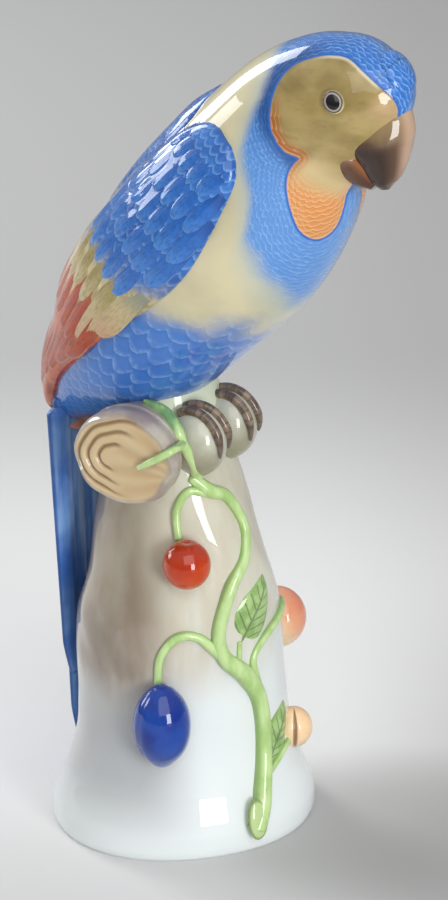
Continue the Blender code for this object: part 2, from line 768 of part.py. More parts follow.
def main():
    clear_scene()
    figure = make_collection("parrot_figurine")
    shapes = make_collection("cast_shapes")
    hollows = make_collection("hollows")
    bird = Spine(BIRD_SECTIONS, Vector((0, 0, PERCH_HEIGHT)))
    body = make_stump(figure)
    body.name = BODY_NAME
    make_stub(shapes)
    make_feet(shapes)
    make_vine(shapes)
    make_fruit(shapes)
    make_trunk(bird, shapes)
    make_head(bird, shapes)
    make_wing(bird, 1, shapes)
    make_wing(bird, -1, shapes)
    make_mantle(bird, shapes)
    make_tail(bird, shapes)
    combine(body, shapes, "UNION")
    make_hollow(bird, hollows)
    combine(body, hollows, "DIFFERENCE")
    centre_on_origin(body)
    body.data.materials.clear()
    body.data.materials.append(glaze())
    body.data.shade_smooth()
    body.data.set_sharp_from_angle(angle=math.radians(SHARP_ABOVE))


main()
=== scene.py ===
"""The finished look of a hand-painted porcelain parrot that perches on a fruiting stump."""

import math
from functools import partialmethod

import bpy
import numpy as np
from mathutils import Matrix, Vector


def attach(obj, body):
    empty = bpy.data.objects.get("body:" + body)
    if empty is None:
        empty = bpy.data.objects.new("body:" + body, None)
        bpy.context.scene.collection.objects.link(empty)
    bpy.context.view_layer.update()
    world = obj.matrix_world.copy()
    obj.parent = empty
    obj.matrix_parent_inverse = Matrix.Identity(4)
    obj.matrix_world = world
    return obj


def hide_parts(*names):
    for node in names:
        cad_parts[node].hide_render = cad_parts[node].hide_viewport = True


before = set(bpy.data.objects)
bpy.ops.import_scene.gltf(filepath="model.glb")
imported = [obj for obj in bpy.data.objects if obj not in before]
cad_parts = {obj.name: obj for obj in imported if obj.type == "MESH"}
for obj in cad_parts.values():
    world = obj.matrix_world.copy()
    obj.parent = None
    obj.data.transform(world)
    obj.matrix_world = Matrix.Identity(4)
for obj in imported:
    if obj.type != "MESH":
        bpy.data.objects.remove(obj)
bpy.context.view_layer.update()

# The stump is slip-cast porcelain, waisted above a wide foot, hollow and open underneath.
# It is white at the foot, sponged grey-brown over the waist and washed pale green under the bird.
MM = 0.001
TO_MM = 1000
BODY = "porcelain_parrot"
FOOT_AXIS = np.array((-24.22, -2.03, 0)) * MM
WALL = 5.5
FOOT_WIDTH = 13.0
FOOT_FADE = 30.0
STUMP_HEIGHTS = (0, 4, 14, 29, 48, 70, 92, 110, 130, 150, 170, 188, 200, 212, 226)
STUMP_RADII = (56.0, 57.0, 56.0, 50.5, 46, 45, 45.5, 44.5, 40, 36, 31.5, 27.5, 24.5, 22, 19)
STUMP_MIDDLES = (0, 0, 0, 0, 0, -1, -3, -4, -2, -3, -5, -6, -6, -6, -7)
STUMP_OVAL = 0.10
STUMP_OVAL_TURN = 50
STUMP_OVAL_FADE = 0.6
BARK_SWELL = 0.035
BARK_SWELLS = 3
BARK_TWIST = 22
BARK_FROM = 60
BARK_FULL = 120
STUMP_TOP = STUMP_HEIGHTS[-1]
HOLLOW_TOP = 190
PERCH = 200
CASTING_WHITE = "e3e9e9"
SPONGED_BROWN = "7d6a58"
WASHED_GREEN = "d3dbc2"
BARK_BEIGE = "c6b9a3"
BODY_SHINE = 0.1
COAT_ROUGHNESS = 0.02
WELD = 0.00001
OVER_TOP, OUTSIDE_END, TURNED_IN, INSIDE_END = 0.03, 0.60, 0.63, 0.95


def colour(code):
    """Linear colour of a painted swatch."""
    parts = [int(code[i:i + 2], 16) / 255 for i in (0, 2, 4)]
    return (*[p / 12.92 if p < 0.04045 else ((p + 0.055) / 1.055) ** 2.4 for p in parts], 1.0)


def course(stations, place):
    """Smooth values between evenly numbered stations."""
    stations = np.asarray(stations, float)
    last = len(stations) - 1
    index = np.clip(np.floor(place).astype(int), 0, last - 1)
    part = (place - index)[..., None]
    before = stations[np.maximum(index - 1, 0)]
    here = stations[index]
    there = stations[index + 1]
    after = stations[np.minimum(index + 2, last)]
    square = (2 * before - 5 * here + 4 * there - after) * part ** 2
    cube = (3 * here - before - 3 * there + after) * part ** 3
    return 0.5 * (2 * here + (there - before) * part + square + cube)


def along(stations, share):
    """Smooth values at a share of the way through the stations."""
    return course(stations, share * (len(stations) - 1))


def mix(low, high, part):
    return low + (high - low) * part


def unit(value):
    return np.clip(value, 0, 1)


def within(v, margin):
    """0 up to the margin, 1 from the other margin on, and even between."""
    return unit((v - margin) / (1 - 2 * margin))


def closing(v, margin):
    """0 at both ends and 1 within the margins."""
    return unit(np.minimum(v, 1 - v) / margin)


def ease(value, start, end):
    """Rises smoothly from 0 at the start to 1 at the end."""
    part = unit((value - start) / (end - start))
    return part * part * (3 - 2 * part)


def bark(turn, height, lift=0.0):
    """Points on the stump at turns from the front and heights, lifted off it, in millimetres."""
    turn = np.asarray(turn, float)
    height = np.asarray(height, float)
    place = np.interp(height, STUMP_HEIGHTS, range(len(STUMP_HEIGHTS)))
    radius, middle = np.moveaxis(course(list(zip(STUMP_RADII, STUMP_MIDDLES)), place), -1, 0)
    gnarl = unit((height - BARK_FROM) / (BARK_FULL - BARK_FROM))
    angle = np.radians(turn)
    oval = STUMP_OVAL * (1 - STUMP_OVAL_FADE * gnarl)
    radius = radius * (1 + oval * np.cos(2 * (angle - math.radians(STUMP_OVAL_TURN))))
    radius *= 1 + gnarl * BARK_SWELL * np.cos(BARK_SWELLS * angle + height / BARK_TWIST)
    reach = radius + lift
    spot = np.stack((middle + reach * np.cos(angle), reach * np.sin(angle), height), -1)
    return FOOT_AXIS + spot * MM


def rolled(name, around, rings, place, marks=None):
    """A grid whose points go to place(u, v) and whose seams close. Its UV map keeps u and v."""
    bpy.ops.object.select_all(action="DESELECT")
    bpy.ops.mesh.primitive_grid_add(x_subdivisions=around, y_subdivisions=rings, size=1)
    piece = bpy.context.object
    piece.name = name
    mesh = piece.data
    spots = np.empty(len(mesh.vertices) * 3)
    mesh.vertices.foreach_get("co", spots)
    u = unit(spots[0::3] + 0.5)
    v = unit(spots[1::3] + 0.5)
    mesh.vertices.foreach_set("co", place(u, v).ravel())
    for mark, values in (marks(u, v) if marks else {}).items():
        mesh.attributes.new(mark, "FLOAT", "POINT").data.foreach_set("value", values)
    bpy.ops.object.mode_set(mode="EDIT")
    bpy.ops.mesh.select_all(action="SELECT")
    bpy.ops.mesh.remove_doubles(threshold=WELD)
    bpy.ops.mesh.normals_make_consistent(inside=False)
    bpy.ops.object.mode_set(mode="OBJECT")
    bpy.ops.object.shade_smooth()
    return piece


class Tone:
    """A value or colour in the node tree of a glaze. Arithmetic on it adds Math nodes."""

    def __init__(self, owner, socket=None):
        self.owner = owner
        self.socket = socket

    def node(self, kind, inputs, output=0, **settings):
        """A node of any type: its settings come first, then the values or links of its sockets."""
        tree = self.owner.node_tree
        made = tree.nodes.new("ShaderNode" + kind)
        for name, value in settings.items():
            setattr(made, name, value)
        for name, value in inputs.items():
            if isinstance(value, Tone):
                tree.links.new(value.socket, made.inputs[name])
            else:
                made.inputs[name].default_value = value
        return Tone(self.owner, made.outputs[output])

    def maths(self, operation, *values):
        return self.node("Math", dict(enumerate(values)), operation=operation)

    def through(self, operation):
        """This value alone through a Math node, such as its sine."""
        return self.maths(operation, self)

    def before_other(self, operation, other):
        return self.maths(operation, self, other)

    def after_other(self, operation, other):
        return self.maths(operation, other, self)

    __add__ = partialmethod(before_other, "ADD")
    __radd__ = partialmethod(after_other, "ADD")
    __sub__ = partialmethod(before_other, "SUBTRACT")
    __rsub__ = partialmethod(after_other, "SUBTRACT")
    __mul__ = partialmethod(before_other, "MULTIPLY")
    __rmul__ = partialmethod(after_other, "MULTIPLY")
    __truediv__ = partialmethod(before_other, "DIVIDE")
    __pow__ = partialmethod(before_other, "POWER")
    least = partialmethod(before_other, "MINIMUM")
    most = partialmethod(before_other, "MAXIMUM")

    def past(self, start, end):
        """0 before the start, 1 past the end, and soft between."""
        inputs = {"Value": self, "From Min": start, "From Max": end}
        return self.node("MapRange", inputs, interpolation_type="SMOOTHSTEP")

    def before(self, start, end):
        """1 before the start, 0 past the end, and soft between."""
        return 1 - self.past(start, end)

    def over(self, under, paint):
        """Paint laid over another colour, as thick as this value. Both may be swatches."""
        under, paint = [colour(c) if isinstance(c, str) else c for c in (under, paint)]
        inputs = {"Factor": self, 6: under, 7: paint}
        return self.node("Mix", inputs, output=2, data_type="RGBA", clamp_factor=True)


def coats(paint, *layers):
    """Layers laid over a paint in turn: how thick each one is, and its colour."""
    for thickness, layer in layers:
        paint = thickness.over(paint, layer)
    return paint


def glaze(name, roughness=0.28, coat=1.0):
    """A new glaze: painted colour under a clear, glassy coat. Its paint starts from the tone."""
    material = bpy.data.materials.new(name + "_glaze")
    material.use_nodes = True
    shader = material.node_tree.nodes["Principled BSDF"]
    shader.inputs["Roughness"].default_value = roughness
    shader.inputs["Specular IOR Level"].default_value = BODY_SHINE
    shader.inputs["Coat Weight"].default_value = coat
    shader.inputs["Coat Roughness"].default_value = COAT_ROUGHNESS
    return Tone(material)


def xyz(tone, source="Object"):
    """The piece's own coordinates, or u and v of its UV map."""
    vector = tone.node("TexCoord", {}, output=source)
    return [tone.node("SeparateXYZ", {"Vector": vector}, output=i) for i in range(3)]


def marked(tone, *names):
    """The marks that the piece's points carry."""
    return [tone.node("Attribute", {}, output="Fac", attribute_name=name) for name in names]


def cloud(tone, scale, stretch=(1, 1, 1), detail=3.0, source="Object"):
    """Soft noise from 0 to 1, stretched along the axes of the piece or of its UV map."""
    vector = tone.node("TexCoord", {}, output=source)
    placed = tone.node("Mapping", {"Vector": vector, "Scale": stretch})
    return tone.node("TexNoise", {"Vector": placed, "Scale": scale, "Detail": detail})


def fire(piece, paint, relief=None, depth=0.0003):
    """Sets the colour and relief of a paint's glaze, and fires the glazed piece onto the figurine."""
    tree = paint.owner.node_tree
    shader = tree.nodes["Principled BSDF"]
    tree.links.new(paint.socket, shader.inputs["Base Color"])
    if relief:
        bump = paint.node("Bump", {"Height": relief, "Distance": depth})
        tree.links.new(bump.socket, shader.inputs["Normal"])
    piece.data.materials.clear()
    piece.data.materials.append(paint.owner)
    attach(piece, "root")
    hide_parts(BODY)


def stump_place(u, v):
    """Down the outside from the top, in under the foot and up the inside of the hollow."""
    turn = mix(-180, 180, u)
    stops = (0, OVER_TOP, OUTSIDE_END, TURNED_IN, INSIDE_END, 1)
    height = np.interp(v, stops, (STUMP_TOP, STUMP_TOP, 0, 0, HOLLOW_TOP, HOLLOW_TOP))
    sunk = np.interp(v, stops, (0, 0, 0, 1, 1, 1))
    lift = -sunk * mix(FOOT_WIDTH, WALL, unit(height / FOOT_FADE))
    lumps = 0.9 * np.sin(np.radians(turn) * 5 + height / 17) * np.sin(height / 23 + 1.0)
    ripples = 0.22 * np.sin(np.radians(turn) * 9 + height / 8) * np.sin(height / 10 + np.radians(turn) * 4)
    lift = lift + (lumps + ripples) * ease(height, 62, 95) * (1 - ease(height, 182, 194)) * (1 - sunk)
    outside = bark(turn, height, lift)
    axis = FOOT_AXIS + np.stack((height * 0 - 4, height * 0, height), -1) * MM
    reach = np.interp(v, stops, (0, 1, 1, 1, 1, 0))[:, None]
    return mix(axis, outside, reach)


stump = rolled("stump", 150, 260, stump_place)
tone = glaze("sponged_bark")
x, y, z = xyz(tone)
blots = cloud(tone, 30, (1, 1, 0.5), 4)
grain = cloud(tone, 110, (1, 1, 0.3))
level = z * TO_MM + (blots - 0.5) * 34 - (y - FOOT_AXIS[1]) * 420
leftward = (y - FOOT_AXIS[1]) * -TO_MM + (x - FOOT_AXIS[0]) * -0.5 * TO_MM
warm = level.past(78, 112) * level.before(180, 204) * (0.50 + 0.45 * grain.past(0.3, 0.7))
brown = level.past(84, 116) * level.before(176, 212) * leftward.past(18, 42)
brown = brown * (0.70 + 0.30 * blots.past(0.38, 0.60))
right_side = ((y - FOOT_AXIS[1]) * TO_MM).past(10, 30) * level.past(110, 150)
paint = coats(
    (z * TO_MM + (blots - 0.5) * 30).past(70, 150).over(CASTING_WHITE, "d6dbcb"),
    (warm * 0.75, BARK_BEIGE),
    (brown * 0.85, SPONGED_BROWN),
    (right_side * z.before(0.185, 0.205) * 0.5, "b7a48e"),
    ((z * TO_MM + (blots - 0.5) * 16).past(186, 200), WASHED_GREEN),
    # painted shade: grey over the lower left of the stump, above the floor and below the brown
    (leftward.past(10, 44) * z.past(0.0, 0.04) * level.before(84, 116) * 0.75, "a3a4a6"),
)
swells = cloud(tone, 26, (1, 1, 0.7), 1) * (0.5 + 0.5 * z.past(0.08, 0.12))
fire(stump, paint, swells, 0.0016)

# The sawn branch stands out to the right of the stump, pressed in a mould of its own and luted on.
# Its face is cut with the year rings, which run out to the front, and its bark is brushed grey-brown.
BRANCH_BASE = np.array((-7.7, 0.3, PERCH - 2.0))
BRANCH_HEADING = -80
BRANCH_SECTIONS = ((8, 13, 17), (26, 18.5, 20), (36, 23.5, 22.5), (43, 26, 23), (48, 24.6, 21.4))
FACE_FROM = 0.55
GROOVE_AT = (0.86, 0.60, 0.30)
GROOVE_WIDTH = 0.055
GROOVE_DEPTH = 1.5
PITH_SHIFT = 7.0
GROOVE_BROWN = "8a6b4a"
BARK_GREY = "998b84"


def branch_marks(u, v):
    turn = 2 * np.pi * u
    scale = unit((1 - v) / (1 - FACE_FROM))
    wave = 1 + 0.05 * np.sin(turn * 3 + 1) + 0.03 * np.sin(turn * 5)
    open_side = ease(np.cos(turn + 0.25), -0.25, 0.60) * ease(scale, 0.0, 0.3)
    groove = sum(np.exp(-((scale * wave - at) / GROOVE_WIDTH) ** 2) for at in GROOVE_AT)
    groove = groove * (1 - open_side) * (v > FACE_FROM)
    fan = np.arctan2(scale * np.sin(turn) + 0.25, 1.25 - scale * np.cos(turn))
    streaks = (0.5 + 0.5 * np.cos(fan * 15)) * open_side * (1 - ease(scale, 0.86, 0.98)) * (v > FACE_FROM)
    return {"groove": groove, "streak": streaks, "face": ease(v, 0.545, 0.60), "scale": scale}


def branch_place(u, v):
    heading = math.radians(BRANCH_HEADING)
    out = np.array((math.cos(heading), math.sin(heading), 0))
    side = np.array((-out[1], out[0], 0))
    turn = 2 * np.pi * u
    reach, wide, high = np.moveaxis(along(BRANCH_SECTIONS, unit(v / FACE_FROM)), -1, 0)
    scale = unit((1 - v) / (1 - FACE_FROM))
    found = branch_marks(u, v)
    reach = reach - GROOVE_DEPTH * found["groove"] - 0.5 * found["streak"]
    reach = reach + 0.25 * np.sin(3 * turn) * (v > 0.4) * scale - 0.25
    ragged = 0.020 * np.sin(turn * 5 + 0.5) + 0.014 * np.sin(turn * 8 + 2)
    scale = scale * (1 - 0.034 * (v > 0.3) + ragged * ease(v, 0.30, 0.50))
    across = wide * scale * np.cos(turn) - PITH_SHIFT * (1 - scale)
    up = high * scale * np.sin(turn)
    spot = BRANCH_BASE + out * reach[:, None] + side * across[:, None]
    spot = spot + np.array((0, 0, 1)) * up[:, None]
    return FOOT_AXIS + spot * MM


branch = rolled("sawn_branch", 120, 150, branch_place, branch_marks)
tone = glaze("sawn_wood")
groove, streak, face, scale = marked(tone, "groove", "streak", "face", "scale")
blots = cloud(tone, 60, detail=4)
bark_paint = blots.past(0.35, 0.65).over("bdb4a6", BARK_GREY)
wood = coats(
    (blots * 0.8).over("d9c49c", "c2a67c"),
    (streak * 0.45, "b8976a"),
    (groove.past(0.10, 1.0) * 0.8, GROOVE_BROWN),
    (scale.past(0.90, 1.0) * 0.6, "9a7f63"),
)
fire(branch, face.over(bark_paint, wood))

# Two smooth knobs of bare wood carry the feet, luted to the front of the perch.
# They are washed grey-green, with painted shade making them a little darker lower down.
KNOB_FORWARD = 17.0
KNOB_APART = 12.0
KNOB_DROP = 1.0
KNOB_SIZE = np.array((14.0, 12.3, 16.5))


def ball(name, centre, radii, around=48, rings=32, shape=None):
    """A fruit, knob or eye: a ball whose radii and outline are its own."""
    def place(u, v):
        turn = 2 * np.pi * u
        tilt = np.pi * (v - 0.5)
        out = np.stack((np.cos(turn) * np.cos(tilt), np.sin(turn) * np.cos(tilt), np.sin(tilt)), -1)
        swell = shape(turn, tilt)[:, None] if shape else 1.0
        return np.asarray(centre) + out * swell * np.asarray(radii) * MM
    return rolled(name, around, rings, place)


def knob_shape(turn, tilt):
    return 1 - 0.03 * (0.5 + 0.5 * np.cos(turn * 4)) * np.cos(tilt)


def knob_centre(side):
    return FOOT_AXIS + np.array((KNOB_FORWARD, side * KNOB_APART, PERCH - KNOB_DROP)) * MM


for side, name in ((-1, "near_knob"), (1, "far_knob")):
    knob = ball(name, knob_centre(side), KNOB_SIZE, shape=knob_shape)
    tone = glaze("knob")
    height = xyz(tone)[2]
    # painted shade: the grey-green wash is painted darker towards the underside of each knob
    wash_and_shade = cloud(tone, 55) + (PERCH * MM - height) * 18
    fire(knob, wash_and_shade.past(0.20, 0.75).over("c3c3b2", "9a977f"))

# The bird's trunk, neck and head are one casting. Painted feathers run in rows away from the face:
# bright blue on crown and bib, a cream collar, blue belly, and an olive-tan face with an orange lobe.
BIRD_SECTIONS = (
    (-57, -4, 8, 20),
    (-51, 5, 15, 23),
    (-41, 17, 23, 29),
    (-22, 36, 35, 37),
    (4, 70, 42.5, 42),
    (30, 102, 46, 43),
    (49, 131, 43.5, 38.5),
    (63, 152, 37, 32.5),
    (79, 166, 32.5, 29),
    (95, 176, 26.0, 23.5),
    (106, 182.5, 18.3, 16.0),
    (111.5, 186.5, 10.5, 9.5),
)
BROW_RISE = 4.2
RUMP_FROM = 0.02
BROW_FROM = 0.96
FACE_OUTLINE = (
    (0.787, 42), (0.830, 41), (0.880, 48), (0.925, 72), (0.950, 100), (0.955, 128), (0.930, 152),
    (0.860, 166), (0.780, 169), (0.720, 169), (0.660, 169), (0.603, 168), (0.566, 166),
    (0.550, 156), (0.557, 141), (0.583, 129), (0.613, 121), (0.645, 116), (0.672, 114),
    (0.690, 113), (0.676, 104), (0.675, 94), (0.682, 82), (0.710, 63), (0.748, 47),
)
CHIN = (0.715, 130)
BIB_EDGE = (
    (0, 0.716), (25, 0.714), (45, 0.703), (60, 0.681), (72, 0.650), (82, 0.615), (95, 0.588),
    (105, 0.560), (115, 0.515), (132, 0.488), (150, 0.468), (165, 0.455), (180, 0.447),
)
BELLY_EDGE = ((0, 0.36), (90, 0.37), (106, 0.375), (127, 0.398), (144, 0.415), (180, 0.410))
SHARE_TO_MM = 260


class Spine:
    """Oval sections on a path in the XZ plane. Angle 0 is the back's midline, 90 the near side."""

    def __init__(self, sections, origin=(0, 0, PERCH), wedge=0.0):
        self.sections = sections
        self.origin = np.array(origin, float)
        self.wedge = wedge

    def section(self, share):
        last = len(self.sections) - 1
        place = np.asarray(share, float) * last
        x, z, depth, width = np.moveaxis(course(self.sections, place), -1, 0)
        low = course(self.sections, np.maximum(place - 0.1, 0))
        high = course(self.sections, np.minimum(place + 0.1, last))
        ahead = np.stack((high[..., 0] - low[..., 0], x * 0, high[..., 1] - low[..., 1]), -1)
        ahead /= np.linalg.norm(ahead, axis=-1, keepdims=True)
        return self.origin + np.stack((x, x * 0, z), -1), ahead, depth, width

    def point(self, share, angle, lift=0.0):
        centre, ahead, depth, width = self.section(share)
        back = np.stack((-ahead[..., 2], ahead[..., 1], ahead[..., 0]), -1)
        turn = np.radians(angle)
        out = back * ((depth + lift) * np.cos(turn))[..., None]
        width = width * (1 - self.wedge * np.cos(turn))
        side = np.array((0, -1, 0)) * ((width + lift) * np.sin(turn))[..., None]
        return FOOT_AXIS + (centre + out + side) * MM


def smooth_outline(outline, steps=8):
    """Points along a closed outline, rounded through its corners."""
    closed = outline[-1:] + outline + outline[:2]
    place = 1 + np.arange(len(outline) * steps) / steps
    return course(closed, place)


def inside_by(spine, spots, share, angle, outline):
    """How far points lie inside an outline drawn on the bird's side, in millimetres."""
    loop = smooth_outline(outline)
    ahead = np.roll(loop, -1, axis=0)
    loop_spots = spine.point(loop[:, 0], loop[:, 1])
    ahead_spots = spine.point(ahead[:, 0], ahead[:, 1])
    nearest = np.full(len(share), 1.0)
    within = np.zeros(len(share), bool)
    for k in range(len(loop)):
        edge = ahead_spots[k] - loop_spots[k]
        part = unit((spots - loop_spots[k]) @ edge / (edge @ edge))
        away = np.linalg.norm(spots - loop_spots[k] - part[:, None] * edge, axis=1)
        nearest = np.minimum(nearest, away)
        low, high = loop[k], ahead[k]
        crosses = (low[1] > angle) != (high[1] > angle)
        at = low[0] + (high[0] - low[0]) * (angle - low[1]) / (high[1] - low[1] + 1e-9)
        within ^= crosses & (share < at)
    return np.where(within, nearest, -nearest) / MM


bird = Spine(BIRD_SECTIONS)


def bird_share(v):
    return unit((v - RUMP_FROM) / (BROW_FROM - RUMP_FROM))


def bird_skin(u, v):
    """The bird's bare surface, closed by a low dome at the brow."""
    share = bird_share(v)
    base = bird.point(share, mix(-180, 180, u))
    middle, ahead, _, _ = bird.section(np.array(1.0))
    middle = FOOT_AXIS + middle * MM
    cap = unit((v - BROW_FROM) / (1 - BROW_FROM))[:, None] * math.pi / 2
    return middle + (base - middle) * np.cos(cap) + ahead * BROW_RISE * MM * np.sin(cap)


def bird_marks(u, v):
    share = bird_share(v)
    angle = np.abs(mix(-180, 180, u))
    spots = bird_skin(u, v)
    spots[:, 1] = FOOT_AXIS[1] - np.abs(spots[:, 1] - FOOT_AXIS[1])
    face_in = inside_by(bird, spots, share, angle, FACE_OUTLINE)
    bib = (share - np.interp(angle, *zip(*BIB_EDGE))) * SHARE_TO_MM
    belly = (np.interp(angle, *zip(*BELLY_EDGE)) - share) * SHARE_TO_MM
    chin = bird.point(np.array(CHIN[0]), np.array(CHIN[1]))
    gap = (spots - chin) / MM
    turned = np.arctan2(gap[:, 0] - 0.5 * gap[:, 2], -gap[:, 2] - 0.5 * gap[:, 0])
    return {
        "face_in": face_in, "bib_in": bib, "belly_in": belly, "row_turn": turned / math.pi,
        "chin_away": np.linalg.norm(gap, axis=1), "share": share, "side": angle,
    }


def bird_place(u, v):
    edge = bird_marks(u, v)["face_in"]
    lift = -0.2 - 0.30 * ease(edge, -0.5, 0.7) + 0.30 * ease(edge, 0.7, 5)
    skin = bird_skin(u, v)
    core = FOOT_AXIS + bird.section(bird_share(v))[0] * MM
    out = skin - core
    out /= np.linalg.norm(out, axis=1, keepdims=True) + 1e-9
    start = FOOT_AXIS + bird.section(np.array(0.0))[0] * MM
    return mix(start, skin + out * lift[:, None] * MM, unit(v / RUMP_FROM)[:, None])


def feather_rows(column, row, arch):
    """Overlapping rounded feathers: how far past the last edge, and how far to the next one."""
    def arc(shift):
        bow = (column + shift).through("FRACT") * 2 - 1
        return (1 - bow * bow) * arch
    even = ((row - arc(0.0)) / 2).through("FRACT")
    odd = ((row - 1 - arc(0.5)) / 2).through("FRACT")
    return even.least(odd) * 2, (1 - even).least(1 - odd) * 2


trunk = rolled("bird", 220, 300, bird_place, bird_marks)
tone = glaze("painted_feather")
face_in, bib_in, belly_in = marked(tone, "face_in", "bib_in", "belly_in")
turned, chin_away, share, side = marked(tone, "row_turn", "chin_away", "share", "side")
blots = cloud(tone, 60, detail=4)
hairs = cloud(tone, 700, (1, 1, 0.35), 2)
strands = cloud(tone, 420, detail=2).past(0.35, 0.65)
wobble = (cloud(tone, 170, detail=2) - 0.5) * 3.4

crown_since, crown_left = feather_rows(turned * 36, (wobble - face_in) / 2.0, 0.42)
rear_band = (0 - face_in).before(4.0, 13.0) * share.past(0.64, 0.68) * share.before(0.76, 0.84)
crown = coats(
    (blots * 0.9).over("2462b8", "3f82d4"),
    (crown_left.before(0.0, 0.6) * (0.25 + 0.6 * strands), "8cbcf0"),
    # painted shade: a darker line just below each feather edge, under the feather that overlaps it
    (crown_since.before(0.0, 0.5) * 0.35, "215fba"),
    ((0.66 - share).past(-0.06, 0.06) * 0.45, "7fb0e6"),
    (rear_band * 0.8, "174789"),
)

rows = (0.42 - share) * 58 + (blots - 0.5) * 0.9
belly_since, belly_left = feather_rows(side * 0.066, rows, 0.55)
belly = coats(
    (blots * 0.8).over("2f68bd", "4a86d2"),
    (belly_left.before(0.0, 0.5) * (0.12 + 0.35 * strands), "9dc1ea"),
    # painted shade: a darker line just below each feather edge, under the feather that overlaps it
    (belly_since.before(0.0, 0.5) * 0.3, "2a62b4"),
)

cream = (cloud(tone, 36).past(0.35, 0.7) * 0.5).over("d9cfa9", "bdb794")
cream = (bib_in.through("ABSOLUTE").before(0.0, 12.0) * 0.5).over(cream, "a9bcc0")

folds = cloud(tone, 62, (1, 0.6, 1.5))
creases = cloud(tone, 150, (1, 0.6, 2.4), 2).past(0.55, 0.72)
orange_rim = face_in.before(1.5, 7.0) * side.past(60, 84) * share.before(0.72, 0.78)
pale_rim = face_in.before(0.3, 2.0) * share.past(0.78, 0.84) * side.before(88, 110)
lobe_since, lobe_left = feather_rows(turned * 26, chin_away / 2.3 + wobble * 0.2, 0.4)
lobe = (lobe_left.before(0.0, 0.6) * 0.55).over("d99253", "edc08e")
# painted shade: a darker line just below each scallop edge, under the scallop that overlaps it
lobe = (lobe_since.before(0.0, 0.4) * 0.5).over(lobe, "c47334")
rim_left = feather_rows(turned * 26, face_in / 2.2, 0.4)[1]
olive = coats(
    folds.past(0.3, 0.7).over("ad9862", "8f7b48"),
    (creases * 0.3, "7d6a3e"),
    (orange_rim, "b06a2c"),
    (pale_rim * 0.7, "efe4c6"),
    (share.before(0.685, 0.755) * side.past(112, 124) * 0.85, "dcc492"),
    (share.past(0.84, 0.93) * side.past(98, 122) * 0.5, "d9b48c"),
    (share.before(0.605, 0.690) * side.past(112, 120), lobe),
    (rim_left.before(0.0, 0.5) * orange_rim * 0.5, "f0c08c"),
)

paint = coats(
    (bib_in + (blots - 0.5) * 8).past(-4.5, 5.0).over(cream, crown),
    ((belly_in + (blots - 0.5) * 14).past(-8, 7), belly),
    ((face_in + 0.5).through("ABSOLUTE").before(0.1, 0.9), "2a66bc"),
    (face_in.past(-0.4, 0.4), olive),
)
relief = crown_since.past(0.0, 0.9) * bib_in.past(-2, 3) * face_in.before(-0.6, 0.4)
relief += belly_since.past(0.0, 0.9) * belly_in.past(-2, 4) * 1.8
relief += folds * face_in.past(0.5, 3.0) * 1.6 + hairs * 0.15
fire(trunk, paint, relief, 0.00020)

# Each wing is luted to the bird's side: a long shield of overlapping feathers, blue on the shoulder,
# turning olive and cream, and ending in flame-coloured flight feathers.
WING_STATIONS = (
    (0.605, 60, 76, 1.5, 1.5),
    (0.592, 48, 86, 3.0, 3.5),
    (0.565, 41, 93, 4.5, 5.0),
    (0.500, 35, 98, 6.5, 5.5),
    (0.430, 27, 101, 8.5, 5.5),
    (0.370, 20, 97, 10.0, 5.0),
    (0.300, 9, 84, 12.0, 5.0),
    (0.200, 3, 74, 12.5, 5.0),
    (0.090, 3, 64, 11.2, 5.0),
    (-0.010, 5, 56, 7.7, 4.5),
    (-0.040, 18, 46, 4.0, 3.0),
)
WING_SINK = 3.0
WING_MARGIN = 0.01
SHELL_OUTER = 0.8


def shell(stations, side, margin, squareness):
    """A low shell of feathers on the bird's back. Its outer face comes first, then the one sunk in."""
    def place(u, v):
        inner = unit((u - SHELL_OUTER) / (1 - SHELL_OUTER))
        across = np.where(u < SHELL_OUTER, u / SHELL_OUTER, 1 - inner)
        found = along(stations, within(v, margin))
        share, upper, lower, above, below = np.moveaxis(found, -1, 0)
        edge = np.sqrt(unit(1 - np.abs(2 * across - 1) ** squareness))
        stand = mix(-0.5 * WING_SINK, mix(above, below, across), edge)
        sunk = mix(-0.5 * WING_SINK, -WING_SINK, np.sin(inner * np.pi))
        stand = np.where(u > SHELL_OUTER, sunk, stand)
        points = bird.point(share, side * mix(upper, lower, across), stand)
        end = along(stations, np.where(v < 0.5, 0.0, 1.0))
        middle = bird.point(end[:, 0], side * (end[:, 1] + end[:, 2]) / 2, 0)
        return mix(middle, points, closing(v, margin)[:, None])
    return place


def wing_marks(u, v):
    found = along(WING_STATIONS, within(v, WING_MARGIN))
    across = unit(u / SHELL_OUTER)
    return {"share": found[:, 0], "across": across, "angle": mix(found[:, 1], found[:, 2], across)}


def wing_surface(side):
    """Where a feather lies on a wing, given by the bird's share and angle."""
    shares = [-s[0] for s in WING_STATIONS]

    def point(share, angle, lift=0.0):
        place = np.interp(-share, shares, range(len(shares)))
        _, upper, lower, above, below = np.moveaxis(course(WING_STATIONS, place), -1, 0)
        across = unit((angle - upper) / (lower - upper))
        edge = np.sqrt(1 - np.clip(np.abs(2 * across - 1), 0, 0.93) ** 5)
        return bird.point(share, side * angle, mix(above, below, across) * edge * 0.90 + lift)

    return point


